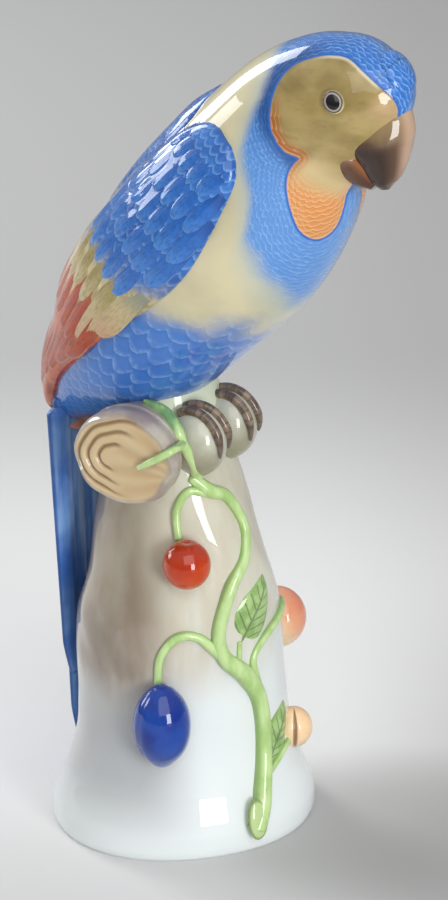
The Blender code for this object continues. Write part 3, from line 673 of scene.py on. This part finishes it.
def wing_glaze():
    tone = glaze("wing")
    share, across, angle = marked(tone, "share", "across", "angle")
    blots = cloud(tone, 70, detail=4)
    small_since, small_left = feather_rows(angle / 6.5, (0.60 - share) * 75, 0.5)
    blue = coats(
        blots.past(0.3, 0.7).over("2258a8", "3a7acc"),
        (small_left.before(0.0, 0.5) * 0.4, "92bcec"),
        # painted shade: a darker line just below each small feather edge, under the feather that overlaps
        # it
        (small_since.before(0.0, 0.5) * 0.35, "1f55a6"),
    )
    streaks = cloud(tone, 260, (1, 1, 0.22))
    dark = streaks.past(0.35, 0.65)
    olive = dark.over("d8c88e", "a4915a")
    flame = dark.over("c85618", "98360a")
    turn = share + (blots - 0.5) * 0.05 - across * 0.05
    paint = coats(
        turn.past(0.325, 0.375).over(olive, blue),
        ((turn + 0.02 * across).before(0.27, 0.33), flame),
        (share.before(0.0, 0.10) * 0.7, "dfa590"),
    )
    relief = small_since.past(0.0, 0.9) * turn.past(0.32, 0.38)
    return paint, relief + streaks * 0.4


for side, name in ((1, "near_wing"), (-1, "far_wing")):
    wing = rolled(name, 130, 220, shell(WING_STATIONS, side, WING_MARGIN, 5), wing_marks)
    fire(wing, *wing_glaze(), 0.0003)

# Larger feathers are modelled on each wing one by one, from the shoulder down: rounded coverts
# with pale rims, then long flight feathers whose rounded tips step out over one another.
COVERTS = (
    (0.375, 0.265, 12, 78, 8, 4.4, "flame"),
    (0.405, 0.322, 18, 78, 6, 5.2, "olive"),
    (0.438, 0.364, 27, 82, 6, 5.3, "blue"),
    (0.478, 0.403, 31, 93, 7, 5.2, "blue"),
    (0.516, 0.443, 37, 94, 7, 5.0, "blue"),
    (0.552, 0.485, 43, 91, 6, 4.8, "blue"),
    (0.582, 0.530, 49, 85, 5, 4.4, "blue"),
)
FLIGHTS = (
    (0.300, 0.090, 10, 14, 2.6, "flame"),
    (0.300, 0.045, 15, 19, 2.7, "flame"),
    (0.300, 0.040, 21, 25, 2.8, "flame"),
    (0.300, 0.035, 26, 30, 2.9, "flame"),
    (0.300, 0.035, 32, 36, 3.0, "flame"),
    (0.300, 0.060, 39, 42, 3.2, "flame"),
    (0.305, 0.090, 46, 47, 3.4, "flame"),
    (0.310, 0.125, 54, 53, 3.8, "flame"),
    (0.325, 0.165, 63, 59, 4.4, "flame"),
    (0.335, 0.200, 71, 64, 4.8, "flame"),
    (0.345, 0.240, 80, 71, 5.0, "flame"),
    (0.385, 0.285, 78, 73, 5.6, "cream"),
    (0.395, 0.312, 90, 83, 6.6, "cream"),
)
FEATHER_THICKNESS = {"blue": 1.0, "olive": 1.15, "flame": 1.15, "cream": 1.15}
COVERT_FINISH = (30, 0.55, 0.0002)
FLIGHT_FINISH = (44, 0.75, 0.0005)
WING_STEPS = (0.004, 0.5)
COVERT_SWEEP = 4
TIP_ROUND_FROM = 0.66


def feather_outline(v):
    """Half width along a feather: nearly parallel sides, then a round tip."""
    rounding = unit((v - TIP_ROUND_FROM) / (1 - TIP_ROUND_FROM))
    return mix(0.80, 1.0, ease(v, 0, 0.55)) * np.sqrt(unit(1 - rounding ** 2))


def leaf_outline(v):
    return unit(np.sin(np.pi * mix(0.05, 1.0, v) ** 0.8)) ** 0.8


def blade(name, surface, base, tip, half_width, thickness, steps, outline, around=28, rings=30, rib=0.3):
    """A feather or leaf laid on a surface from its base to its tip, with a rib down the middle."""
    step_a, step_b = steps

    def place(u, v):
        a = mix(base[0], tip[0], v)
        b = mix(base[1], tip[1], v)
        slope_a = (surface(a + step_a, b) - surface(a - step_a, b)) / (2 * step_a)
        slope_b = (surface(a, b + step_b) - surface(a, b - step_b)) / (2 * step_b)
        normal = np.cross(slope_a, slope_b)
        heading = slope_a * (tip[0] - base[0]) + slope_b * (tip[1] - base[1])
        side = np.cross(normal, heading)
        side /= np.linalg.norm(side, axis=1, keepdims=True)
        full = np.where((v < 0.005) | (v > 0.995), 0, outline(v))
        turn = 2 * np.pi * u
        offset = half_width * MM * full * np.cos(turn)
        bow = 1 - np.abs(np.cos(turn)) ** 4
        midrib = rib * np.exp(-(np.cos(turn) / 0.09) ** 2) * ease(full, 0.2, 0.8)
        standing = thickness * mix(0.2, 1.0, ease(v, 0.0, 0.7)) * np.minimum(full * 2, 1)
        rise = (standing * bow + midrib) * np.sign(np.sin(turn))
        a = a + offset * np.sum(side * slope_a, 1) / np.sum(slope_a ** 2, 1)
        b = b + offset * np.sum(side * slope_b, 1) / np.sum(slope_b ** 2, 1)
        return surface(a, b, rise)

    def marks(u, v):
        across = np.abs(np.cos(2 * np.pi * u))
        tip_near = unit((v - 0.80) / 0.20)
        return {"rim": np.maximum(across ** 6 * ease(v, 0.2, 0.6), tip_near ** 2), "fromroot": v}

    return rolled(name, around, rings, place, marks)


def feather_glaze(name, root, middle, tip, rim, lines, rim_share):
    """Brushed colour from root to tip, fine barbs along it, and a paler rim. A darker root is painted
    shade where the feather above lies over it.
    """
    tone = glaze(name)
    near_rim, grown = marked(tone, "rim", "fromroot")
    barbs = cloud(tone, 30, (2.6, 0.22, 1), 3, "UV")
    fine = cloud(tone, 420, detail=2)
    paint = coats(
        grown.past(0.05, 0.5).over(root, middle),
        (grown.past(0.5, 0.98), tip),
        ((barbs * 0.7 + fine * 0.3).past(0.44, 0.64) * 0.6, lines),
        (near_rim.past(0.45, 0.95) * rim_share, rim),
    )
    return paint, barbs


FEATHER_PAINTS = {
    # painted shade: the dark root colour of the blue feathers, where the feather above overlaps them
    "blue": ("1f52a0", "2f6fc4", "4a8ad8", "8db8e6", "1c4a94"),
    "olive": ("4c76ac", "a99a62", "cdb987", "e2d3ac", "857847"),
    "flame": ("b07c40", "b43e08", "ba4a12", "efbd92", "742606"),
    "cream": ("8f9a8c", "cbb88a", "d2a680", "ead6b4", "a58c60"),
}


def lay_feather(name, surface, start, end, half_width, look, finish):
    """One feather with its glaze. Its finish: rings of points, strength of the rim, depth of barbs."""
    rings, rim_share, depth = finish
    thickness = FEATHER_THICKNESS[look]
    feather = blade(
        name, surface, start, end, half_width, thickness, WING_STEPS, feather_outline, rings=rings,
    )
    fire(feather, *feather_glaze(name, *FEATHER_PAINTS[look], rim_share), depth)


for side, wing_name in ((1, "near"), (-1, "far")):
    surface = wing_surface(side)
    for row, (base, tip, first, final, count, half_width, look) in enumerate(COVERTS):
        for k in range(count):
            angle = mix(first, final, k / (count - 1))
            name = f"{wing_name}_covert_{row + 1}_{k + 1}"
            end = (tip, angle - COVERT_SWEEP)
            lay_feather(name, surface, (base, angle), end, half_width, look, COVERT_FINISH)
    for k, (base, tip, base_angle, tip_angle, half_width, look) in enumerate(FLIGHTS):
        name = f"{wing_name}_flight_{k + 1}"
        end = (tip, tip_angle)
        lay_feather(name, surface, (base, base_angle), end, half_width, look, FLIGHT_FINISH)

# The mantle is the low ridge of back feathers between the wings, cast with the trunk.
# It is blue like the wings, with small rounded feathers.
MANTLE_STATIONS = (
    (0.590, 12, 0.8),
    (0.560, 30, 2.5),
    (0.500, 30, 4.5),
    (0.430, 23, 7.0),
    (0.370, 16, 8.8),
    (0.310, 8, 9.5),
    (0.260, 4, 6.0),
)
MANTLE_MARGIN = 0.02


def mantle_marks(u, v):
    found = along(MANTLE_STATIONS, v)
    across = unit(u / SHELL_OUTER) * 2 - 1
    return {"share": found[:, 0], "across": np.abs(across), "angle": across * found[:, 1]}


mantle_shell = [(share, -angle, angle, height, height) for share, angle, height in MANTLE_STATIONS]
mantle = rolled("mantle", 80, 110, shell(mantle_shell, 1, MANTLE_MARGIN, 3), mantle_marks)
fire(mantle, *wing_glaze(), 0.0003)

# Five long tail feathers hang down behind the stump, overlapping like slates.
# They are mid blue under a thinner glaze, brushed lengthwise, with dark edges.
TAIL_FEATHERS = ((0, 208, 11.5, 14), (14, 186, 9.5, 11), (22.5, 138, 7.5, 6))
TAIL_THICKNESS = 4.0
TAIL_STEP = 1.6
TAIL_LEAN = 1.2
TAIL_NARROWED = 0.80
TAIL_TIP_FROM = 0.86
TAIL_TIP_WIDTH = 0.18
TAIL_THINNED = 0.6
TAIL_GATHER = 0.72
TAIL_MARGIN = 0.01
TAIL_BLUES = ("4c7ac4", "4c7ac4", "3c69b8")


def tail_feather(name, order, side, offset, length, half_width, start):
    root = BIRD_SECTIONS[0]

    def place(u, v):
        drop = length * v - start
        tip = unit((v - TAIL_TIP_FROM) / (1 - TAIL_TIP_FROM))
        taper = mix(mix(1, TAIL_NARROWED, v), TAIL_TIP_WIDTH, tip ** 1.3)
        ends = closing(v, TAIL_MARGIN)
        turn = 2 * np.pi * u
        x = root[0] + order * TAIL_STEP + length * v * math.tan(math.radians(TAIL_LEAN))
        y = side * offset * mix(1, TAIL_GATHER, v * length / TAIL_FEATHERS[0][1])
        across = half_width * taper * np.cos(turn) * ends
        thick = TAIL_THICKNESS * mix(1, TAIL_THINNED, v) * ends
        shaft = 0.90 + 0.10 * np.exp(-(np.cos(turn) / 0.10) ** 2)
        spot = np.stack((x + thick * np.sin(turn) * shaft, y + across, PERCH + root[1] - drop), -1)
        return FOOT_AXIS + spot * MM

    def marks(u, v):
        rim = np.abs(np.cos(2 * np.pi * u)) ** 3
        return {"rim": np.maximum(rim, ease(v, 0.93, 1.0))}

    return rolled(name, 48, 120, place, marks)


def tail_glaze(name, deep):
    tone = glaze(name, 0.45, coat=0.3)
    strokes = cloud(tone, 210, (1, 1, 0.07), 4)
    blots = cloud(tone, 45, detail=2)
    paint = coats(
        blots.past(0.3, 0.7).over(deep, "78a2dc"),
        (strokes.past(0.45, 0.65) * 0.5, "3c64aa"),
        ((1 - strokes).past(0.50, 0.72) * 0.6, "8fa9cf"),
        (marked(tone, "rim")[0].past(0.70, 1.0) * 0.7, "254a8a"),
    )
    return paint, strokes


for order, (offset, length, half_width, start) in enumerate(TAIL_FEATHERS):
    for side in (-1, 1) if offset else (1,):
        name = f"tail_feather_{order + 1}_" + ("near" if side < 0 else "far")
        feather = tail_feather(name, order, side, offset, length, half_width, start)
        fire(feather, *tail_glaze(name, TAIL_BLUES[order]), 0.0002)

# The beak is modelled in two parts with the mouth a little open, and glazed in wet browns:
# pale horn along the ridge, dark brown on the sides, and a warm orange line along the mouth.
FACE_SECTION = 9
FACE_CENTRE = np.array((BIRD_SECTIONS[FACE_SECTION][0], 0, PERCH + BIRD_SECTIONS[FACE_SECTION][1]))
UPPER_BEAK = (
    (0, -5, 17, 15),
    (8, -12.5, 15.9, 14.5),
    (10, -21.5, 13.5, 15.5),
    (11, -31, 9.8, 10.5),
    (11, -38, 5.8, 6.5),
    (11.5, -42, 2.0, 2.2),
)
LOWER_BEAK = (
    (-6, -20, 9, 20.2),
    (-1.5, -28, 10, 18.6),
    (3, -35.5, 8.0, 12.6),
    (8.4, -40.5, 3.6, 5.8),
)
BEAK_WEDGE = 0.25
BEAK_MARGIN = 0.03


def spindle(spine):
    """A closed tapering body along a spine."""
    def place(u, v):
        points = spine.point(within(v, BEAK_MARGIN), mix(-180, 180, u))
        middle = FOOT_AXIS + spine.section(np.where(v < 0.5, 0.0, 1.0))[0] * MM
        return mix(middle, points, np.sin(closing(v, BEAK_MARGIN) * np.pi / 2)[:, None])
    return place


def spindle_marks(u, v):
    return {"grown": v, "round": np.abs(mix(-180, 180, u))}


upper_spine = Spine(UPPER_BEAK, FACE_CENTRE, BEAK_WEDGE)
upper_beak = rolled("upper_beak", 80, 90, spindle(upper_spine), spindle_marks)
tone = glaze("upper_beak", 0.2)
grown, ridge = marked(tone, "grown", "round")
strokes = cloud(tone, 120, (1, 1, 0.3))
length = grown + (strokes - 0.5) * 0.16
paint = coats(
    length.past(0.20, 0.42).over("917b58", "5c4333"),
    (ridge.past(34, 70) * length.past(0.28, 0.46), "33221a"),
    (ridge.before(10, 40) * length.before(0.5, 0.9) * 0.8, "c6a58c"),
    (length.past(0.78, 0.98) * 0.5, "5f4a3b"),
)
fire(upper_beak, paint, strokes, 0.0001)

lower_beak = rolled("lower_beak", 60, 60, spindle(Spine(LOWER_BEAK, FACE_CENTRE)), spindle_marks)
tone = glaze("lower_beak", 0.2)
grown, ridge = marked(tone, "grown", "round")
strokes = cloud(tone, 120)
length = grown + (strokes - 0.5) * 0.2
paint = coats(
    length.past(0.20, 0.55).over("8f6e58", "5f412f"),
    (length.past(0.50, 0.85) * 0.8, "4f3224"),
    (ridge.before(40, 74) * length.past(0.2, 0.5) * 0.9, "a5602f"),
)
fire(lower_beak, paint, strokes, 0.0001)

# The eyes are low domes of clay, painted with a black pupil, a pale grey iris and a dark ring.
# A soft rolled lid of clay lies round each of them.
EYE_SHARE = 0.820
EYE_ANGLE = 88.5
EYE_RADIUS = 5.2
EYE_BULGE = 2.4


def eye_place(side):
    def place(u, v):
        spot = np.array(EYE_SHARE)
        here = bird.point(spot, np.array(side * EYE_ANGLE))
        up = bird.point(spot, np.array(side * (EYE_ANGLE - 2.0))) - here
        forward = bird.point(spot + 0.01, np.array(side * EYE_ANGLE)) - here
        forward /= np.linalg.norm(forward)
        out = np.cross(up, forward)
        out *= np.sign(out @ np.array((0, -side, 0))) / np.linalg.norm(out)
        rise = np.cross(out, forward)
        rise *= np.sign(rise[2])
        turn = 2 * np.pi * u
        reach = EYE_RADIUS * np.sin(np.pi * v)
        lid = 0.45 * np.exp(-((np.sin(np.pi * v) - 0.86) / 0.07) ** 2) * (v < 0.5)
        bulge = EYE_BULGE * np.cos(np.pi * v) + lid
        spot = forward * (0.86 * reach * np.cos(turn))[:, None]
        spot = spot + rise * (reach * np.sin(turn))[:, None] + out * bulge[:, None]
        return here + spot * MM
    return place


for side, name in ((1, "near_eye"), (-1, "far_eye")):
    eye = rolled(name, 48, 60, eye_place(side), lambda u, v: {"out": np.sin(np.pi * v)})
    tone = glaze(name, 0.1)
    out = marked(tone, "out")[0]
    around = xyz(tone, "UV")[0]
    lower_lid = ((around * 2 * math.pi).through("SINE") * -1).past(0.3, 0.9)
    paint = coats(
        out.past(0.62, 0.67).over("14100f", "a39b95"),
        (out.past(0.76, 0.82), "4a4244"),
        (out.past(0.88, 0.92), "a89c74"),
        (out.past(0.88, 0.92) * lower_lid, "d6c98f"),
    )
    fire(eye, paint)

# The feet: two toes over each knob, brown with dark creases, each ending in a claw.
# They are rolled from clay, laid on wet and pressed down.
TOE_RADIUS = 2.2
TOE_SPREAD = 4.4
TOE_START = 118
TOE_END = -12
TOE_TWIST = 5.0
TOE_STAND = 0.35
TOE_SPREAD_AT_ROOT = 0.55
TOE_SPREAD_AT_TIP = 1.15
CLAW_FROM = 0.75
CLAW_TIP = 0.3
ROD_CAP = 0.02


def rod(name, path, radii, around=20, rings=90, marks=None):
    """A round rod along a path, with rounded ends."""
    path = np.asarray(path, float)
    radii = np.asarray(radii, float)

    def place(u, v):
        spot = within(v, ROD_CAP) * (len(path) - 1)
        here = course(path, spot)
        ahead = course(path, np.minimum(spot + 0.05, len(path) - 1))
        behind = course(path, np.maximum(spot - 0.05, 0))
        tangent = ahead - behind
        tangent /= np.linalg.norm(tangent, axis=1, keepdims=True)
        outward = here - FOOT_AXIS
        outward[:, 2] = 0
        side = np.cross(tangent, outward)
        side /= np.linalg.norm(side, axis=1, keepdims=True) + 1e-12
        up = np.cross(side, tangent)
        radius = course(radii[:, None], spot)[:, 0]
        end = closing(v, ROD_CAP)
        radius = radius * np.sin(end * np.pi / 2)
        over = tangent * (np.where(v < 0.5, -1, 1) * (1 - end) * radii.mean() * 0.5 * MM)[:, None]
        turn = 2 * np.pi * u
        ring = side * np.cos(turn)[:, None] + up * np.sin(turn)[:, None]
        return here + over + ring * (radius * MM)[:, None]

    return rolled(name, around, rings, place, marks)


for side, foot in ((-1, "near"), (1, "far")):
    for number, offset in enumerate((-TOE_SPREAD, TOE_SPREAD)):
        steps = np.linspace(0, 1, 12)
        turns = np.radians(mix(TOE_START, TOE_END, steps))
        lift = TOE_RADIUS * TOE_STAND
        spread = offset * mix(TOE_SPREAD_AT_ROOT, TOE_SPREAD_AT_TIP, steps)
        spread = spread + TOE_TWIST * (steps - 0.5)
        squeeze = np.sqrt(1 - (spread / KNOB_SIZE[1]) ** 2)
        path = np.stack((
            (KNOB_SIZE[0] * squeeze + lift) * np.cos(turns),
            spread,
            (KNOB_SIZE[2] * squeeze + lift) * np.sin(turns),
        ), -1)
        thin = mix(1, CLAW_TIP, unit((steps - CLAW_FROM) / (1 - CLAW_FROM)))
        name = f"{foot}_toe_{number + 1}"
        toe = rod(name, knob_centre(side) + path * MM, TOE_RADIUS * thin, marks=lambda u, v: {"grown": v})
        tone = glaze(name, 0.25)
        grown = marked(tone, "grown")[0]
        blots = cloud(tone, 190)
        bend = grown * 60 + blots * 5
        creases = bend.through("SINE") * 0.5 + 0.5
        paint = coats(
            blots.past(0.35, 0.65).over("8d7a68", "5f5045"),
            (creases.past(0.80, 1.0) * 0.5, "40342b"),
            (grown.past(0.82, 0.90), "6d6056"),
        )
        fire(toe, paint, creases, 0.00015)

# The vine climbs the front of the stump from a cut end near the foot, rolled from soft clay.
# Its stems carry the fruits and leaves. All of it is brushed light green, with painted shade darkening the
# sides.
VINE = (
    (-16, 12, 4.6), (-8, 27, 4.6), (-1, 50, 4.0), (-2, 72, 4.2), (-12, 87, 4.6), (-25, 98, 3.8),
    (-27, 112, 3.4), (-19, 131, 3.2), (-4, 144, 2.8), (3, 158, 2.6), (-6, 171, 2.8),
    (-22, 176, 3.4), (-36, 183, 2.8),
)
STEMS = {
    "cherry_stem": ((-24, 175, 2.2), (-41, 177, 2.0), (-52, 169, 1.9), (-53, 156, 1.9)),
    "plum_stem": (
        (-25, 97, 2.8), (-40, 109, 2.3), (-54, 110, 2.1), (-64, 101, 2.0), (-67, 86, 2.0),
    ),
    "peach_stem": (
        (-2, 80, 2.4), (-4, 93, 2.0), (7, 101, 1.9), (22, 105, 1.9), (40, 106, 1.9), (58, 100, 1.9),
    ),
    "leaf_stem": ((-15, 90, 1.6), (-13, 103, 1.4)),
    "nut_stem": ((-1, 34, 1.8), (14, 40, 1.6), (30, 44, 1.6)),
}
FREE_STEMS = {
    "vine_top": (
        (18.5, -14.5, 181.5, 2.8), (20.5, -19.0, 190.5, 2.8), (19.5, -23.5, 198.5, 2.6),
        (18.6, -26.5, 203.8, 2.8), (17.6, -27.7, 208.2, 3.2), (14.5, -27.3, 212.0, 3.4),
        (9.5, -26.3, 215.8, 3.0), (4.5, -27.0, 218.3, 2.2), (-1.0, -27.0, 219.4, 1.0),
    ),
    "tendril": (
        (18.6, -26.5, 203.8, 2.2), (22.3, -33.5, 205.5, 2.0), (24.0, -40.5, 206.8, 1.9),
        (21.4, -44.2, 204.7, 1.9), (14.2, -45.8, 199.9, 1.7), (9.3, -46.6, 196.5, 1.2),
    ),
}
VINE_STAND = 0.25

for name, stations in {"vine": VINE, **STEMS, **FREE_STEMS}.items():
    fine = along(stations, np.linspace(0, 1, 6 * len(stations)))
    if name in FREE_STEMS:
        path = FOOT_AXIS + fine[:, :3] * MM
    else:
        path = bark(fine[:, 0], fine[:, 1], fine[:, 2] * VINE_STAND)
    stem = rod(name, path, fine[:, -1], 24, 260 if name == "vine" else 80)
    tone = glaze(name)
    around, grown, _ = xyz(tone, "UV")
    facing = (around * 2 * math.pi).through("SINE")
    strokes = cloud(tone, 170, (1, 1, 0.4))
    paint = strokes.past(0.35, 0.65).over("c3de9c", "a8ca7c")
    # painted shade: darker green where each rod turns away from its outward face
    paint = (facing.before(0.05, 0.75) * 0.7).over(paint, "86a95c")
    if name == "vine_top":
        paint = (grown.past(0.45, 0.62) * strokes.past(0.3, 0.6)).over(paint, "6f9a66")
    fire(stem, paint, strokes, 0.0001)

# The leaves are pressed thin and laid on the bark, with the veins drawn in with a dark brush.
# Their edges are brushed a darker green.
LEAVES = {
    "upper_leaf": (-13, 101, 11, 131, 10.5),
    "lower_leaf": (1, 38, 24, 62, 8.5),
}
LEAF_THICKNESS = 1.8
BARK_STEPS = (1.0, 1.0)
VEIN_GREEN = "5f7648"

for name, (turn, height, tip_turn, tip_height, half_width) in LEAVES.items():
    leaf = blade(
        name, bark, (turn, height), (tip_turn, tip_height), half_width, LEAF_THICKNESS,
        BARK_STEPS, leaf_outline, 40, 60, 0.4,
    )
    tone = glaze(name)
    around, grown, _ = xyz(tone, "UV")
    across = (around * 2 * math.pi).through("COSINE")
    spread = across.through("ABSOLUTE")
    ribs = (grown * 7 - spread * 1.6).through("FRACT")
    vein = (ribs - 0.5).through("ABSOLUTE").before(0.03, 0.10)
    vein = (vein * spread.before(0.78, 0.92)).most(spread.before(0.03, 0.09))
    blots = cloud(tone, 140)
    paint = coats(
        blots.past(0.35, 0.65).over("a9c884", "86a962"),
        (spread.past(0.80, 1.0) * 0.4, "7c9a58"),
        (vein * 0.65, VEIN_GREEN),
    )
    fire(leaf, paint, 1 - vein, 0.0003)

# The foot of the vine is cut off slantwise, and the cut lies open on its front.
# It is a thin oval of clay, glazed like the stem, with a dark brush line round it.
CUT_FOOT = (-17.5, 8)
CUT_TOP = (-15.5, 27)
CUT_HALF_WIDTH = 5.0
CUT_LIFT = 4.5
CUT_THICKNESS = 1.5


def cut_surface(turn, height, lift=0.0):
    return bark(turn, height, CUT_LIFT + lift)


def cut_outline(v):
    return np.sqrt(unit(1 - (2 * v - 1) ** 2))


cut = blade(
    "vine_cut", cut_surface, CUT_FOOT, CUT_TOP, CUT_HALF_WIDTH, CUT_THICKNESS,
    BARK_STEPS, cut_outline, 36, 40, 0.0,
)
tone = glaze("vine_cut")
around, grown, _ = xyz(tone, "UV")
across = (around * 2 * math.pi).through("COSINE")
ends = grown * 2 - 1
edge = (across * across) * (1 - ends * ends) + ends * ends
fire(cut, edge.past(0.62, 0.90).over("b9cf92", "809c5c"))

# The fruits are modelled solid and luted where the stems end: a red cherry, a dark blue plum,
# a blushing peach and a nut in its split husk. Each has its own deep, wet colour.


def crease(turn, tilt, place, depth, width, roundness=1.0):
    """A furrow from pole to pole, at a place given in half turns."""
    return 1 - depth * np.exp(-(turn - np.pi * place) ** 2 / width) * np.cos(tilt) ** roundness


def cherry_shape(turn, tilt):
    return 1 - 0.10 * np.exp(-((tilt - np.pi / 2) / 0.22) ** 2)


def plum_shape(turn, tilt):
    waist = 1 - 0.04 * np.exp(-((np.abs(tilt) - 0.95) / 0.35) ** 2)
    return waist * crease(turn, tilt, 1.4, 0.02, 0.02)


def peach_shape(turn, tilt):
    return crease(turn, tilt, 1.75, 0.06, 0.03)


def nut_shape(turn, tilt):
    return crease(turn, tilt, 1.72, 0.10, 0.012, 0.5)


FRUITS = {
    "cherry": (-49, 147, 7.0, 11.0, 11.6, cherry_shape),
    "plum": (-65, 70, 7.7, 13.4, 21.0, plum_shape),
    "peach": (66, 86.5, 4.8, 14.3, 15.0, peach_shape),
    "nut": (31, 45, 1.5, 9.0, 10.0, nut_shape),
}

for name, (turn, height, stand, wide, high, shape) in FRUITS.items():
    centre = bark(turn, height, stand)
    fruit = ball(name, centre, (wide, wide, high), 72, 54, shape)
    tone = glaze(name, 0.15)
    x, y, z = xyz(tone)
    rise = (z - centre[2]) / (high * MM)
    blots = cloud(tone, 90)
    if name == "cherry":
        paint = (blots * 0.7 + rise * 0.2).past(0.2, 0.6).over("c8450f", "ad2d08")
        paint = rise.before(-1.0, -0.2).over(paint, "c75a2c")
    elif name == "plum":
        paint = blots.past(0.3, 0.7).over("0a2d86", "1444a0")
        paint = (rise.before(-1.0, 0.1) * 0.6).over(paint, "2c4f9c")
    elif name == "peach":
        blush = ((x - centre[0]) * 45 + (y - centre[1]) * 30 + rise * 0.5 + blots * 0.5).past(0.0, 1.3)
        paint = blush.over("eed8b2", "dd8260")
    else:
        around = xyz(tone, "UV")[0]
        seam = (around - 0.86).through("ABSOLUTE").before(0.010, 0.028)
        paint = blots.past(0.3, 0.7).over("fbdcb4", "f2c898")
        paint = (seam * 0.85).over(paint, "7c5230")
    fire(fruit, paint)

# The studio: a pale seamless sheet under and behind the figurine, soft boxes and the camera.
# None of it is part of the figurine.
TARGET = Vector((26.7, -5.3, 194.6)) * MM + Vector(FOOT_AXIS)
CAMERA_AZIMUTH = math.radians(35)
CAMERA_ELEVATION = math.radians(24)
CAMERA_DISTANCE = 1.6
LENS = 142.34
LAMPS_AIM = Vector((0, 0, 0.2))
ROOM_STRENGTH = 0.63

bpy.ops.object.select_all(action="DESELECT")
bpy.ops.mesh.primitive_plane_add(size=6, location=(0, 0, 0))
floor = bpy.context.object
floor.name = "studio_floor"
material = bpy.data.materials.new("seamless_paper")
material.use_nodes = True
shader = material.node_tree.nodes["Principled BSDF"]
shader.inputs["Roughness"].default_value = 0.9
x, y, _ = xyz(Tone(material))
depth = y * 0.82 - x * 0.57
# painted light: a bright pool on the paper round the figurine, painted darker behind it and in front of it
paper_and_painted_light = depth.past(0.20, 0.60).over("e6e6e6", "b2b2b2")
paper_and_painted_light = depth.before(-0.14, 0.12).over(paper_and_painted_light, "c9c9c9")
sideways = x * 0.82 + y * 0.57
# painted shade: the paper darkens towards the right, more so nearer the front
shade_to_the_right = sideways.past(0.02, 0.16) * (0.32 + 0.40 * depth.before(-0.02, 0.30))
paper_and_painted_light = shade_to_the_right.over(paper_and_painted_light, "9c9c9a")
# painted shadow: a soft dark patch on the paper beside the foot, to its right
foot_shadow_distance = (((sideways - 0.085) / 0.11) ** 2 + ((depth + 0.01) / 0.09) ** 2).past(0.0, 1.0)
paper_and_painted_light = ((1 - foot_shadow_distance) * 0.5).over(paper_and_painted_light, "858583")
material.node_tree.links.new(paper_and_painted_light.socket, shader.inputs["Base Color"])
floor.data.materials.append(material)

toward = Vector((
    math.sin(CAMERA_AZIMUTH) * math.cos(CAMERA_ELEVATION),
    -math.cos(CAMERA_AZIMUTH) * math.cos(CAMERA_ELEVATION),
    math.sin(CAMERA_ELEVATION),
))
camera_data = bpy.data.cameras.new("camera")
camera = bpy.data.objects.new("camera", camera_data)
bpy.context.scene.collection.objects.link(camera)
camera_data.sensor_width = 36
camera_data.lens = LENS
camera_data.clip_end = 20
camera.location = TARGET + toward * CAMERA_DISTANCE
camera.rotation_euler = toward.to_track_quat("Z", "Y").to_euler()
bpy.context.scene.camera = camera

SOFT_BOXES = (
    ("left_box", (-1.62, 0.33, 1.05), 0.60, 1.20, 17),
    ("low_left_box", (-1.72, -0.42, 0.66), 0.60, 0.45, 5),
    ("right_box", (1.25, -0.60, 0.36), 0.42, 0.60, 9),
    ("front_fill", (1.5, -1.3, 1.9), 2.4, 2.0, 24),
)
for name, spot, wide, high, watts in SOFT_BOXES:
    light = bpy.data.lights.new(name, "AREA")
    light.shape = "RECTANGLE"
    light.size = wide
    light.size_y = high
    light.energy = watts
    lamp = bpy.data.objects.new(name, light)
    bpy.context.scene.collection.objects.link(lamp)
    lamp.location = spot
    lamp.rotation_euler = (Vector(spot) - LAMPS_AIM).to_track_quat("Z", "Y").to_euler()

world = bpy.data.worlds.new("studio")
bpy.context.scene.world = world
world.use_nodes = True
up = xyz(Tone(world), "Generated")[2]
room = up.past(-0.2, 0.9).over("929496", "fdfefe")
world.node_tree.links.new(room.socket, world.node_tree.nodes["Background"].inputs["Color"])
world.node_tree.nodes["Background"].inputs["Strength"].default_value = ROOM_STRENGTH
bpy.context.scene.view_settings.view_transform = "Standard"
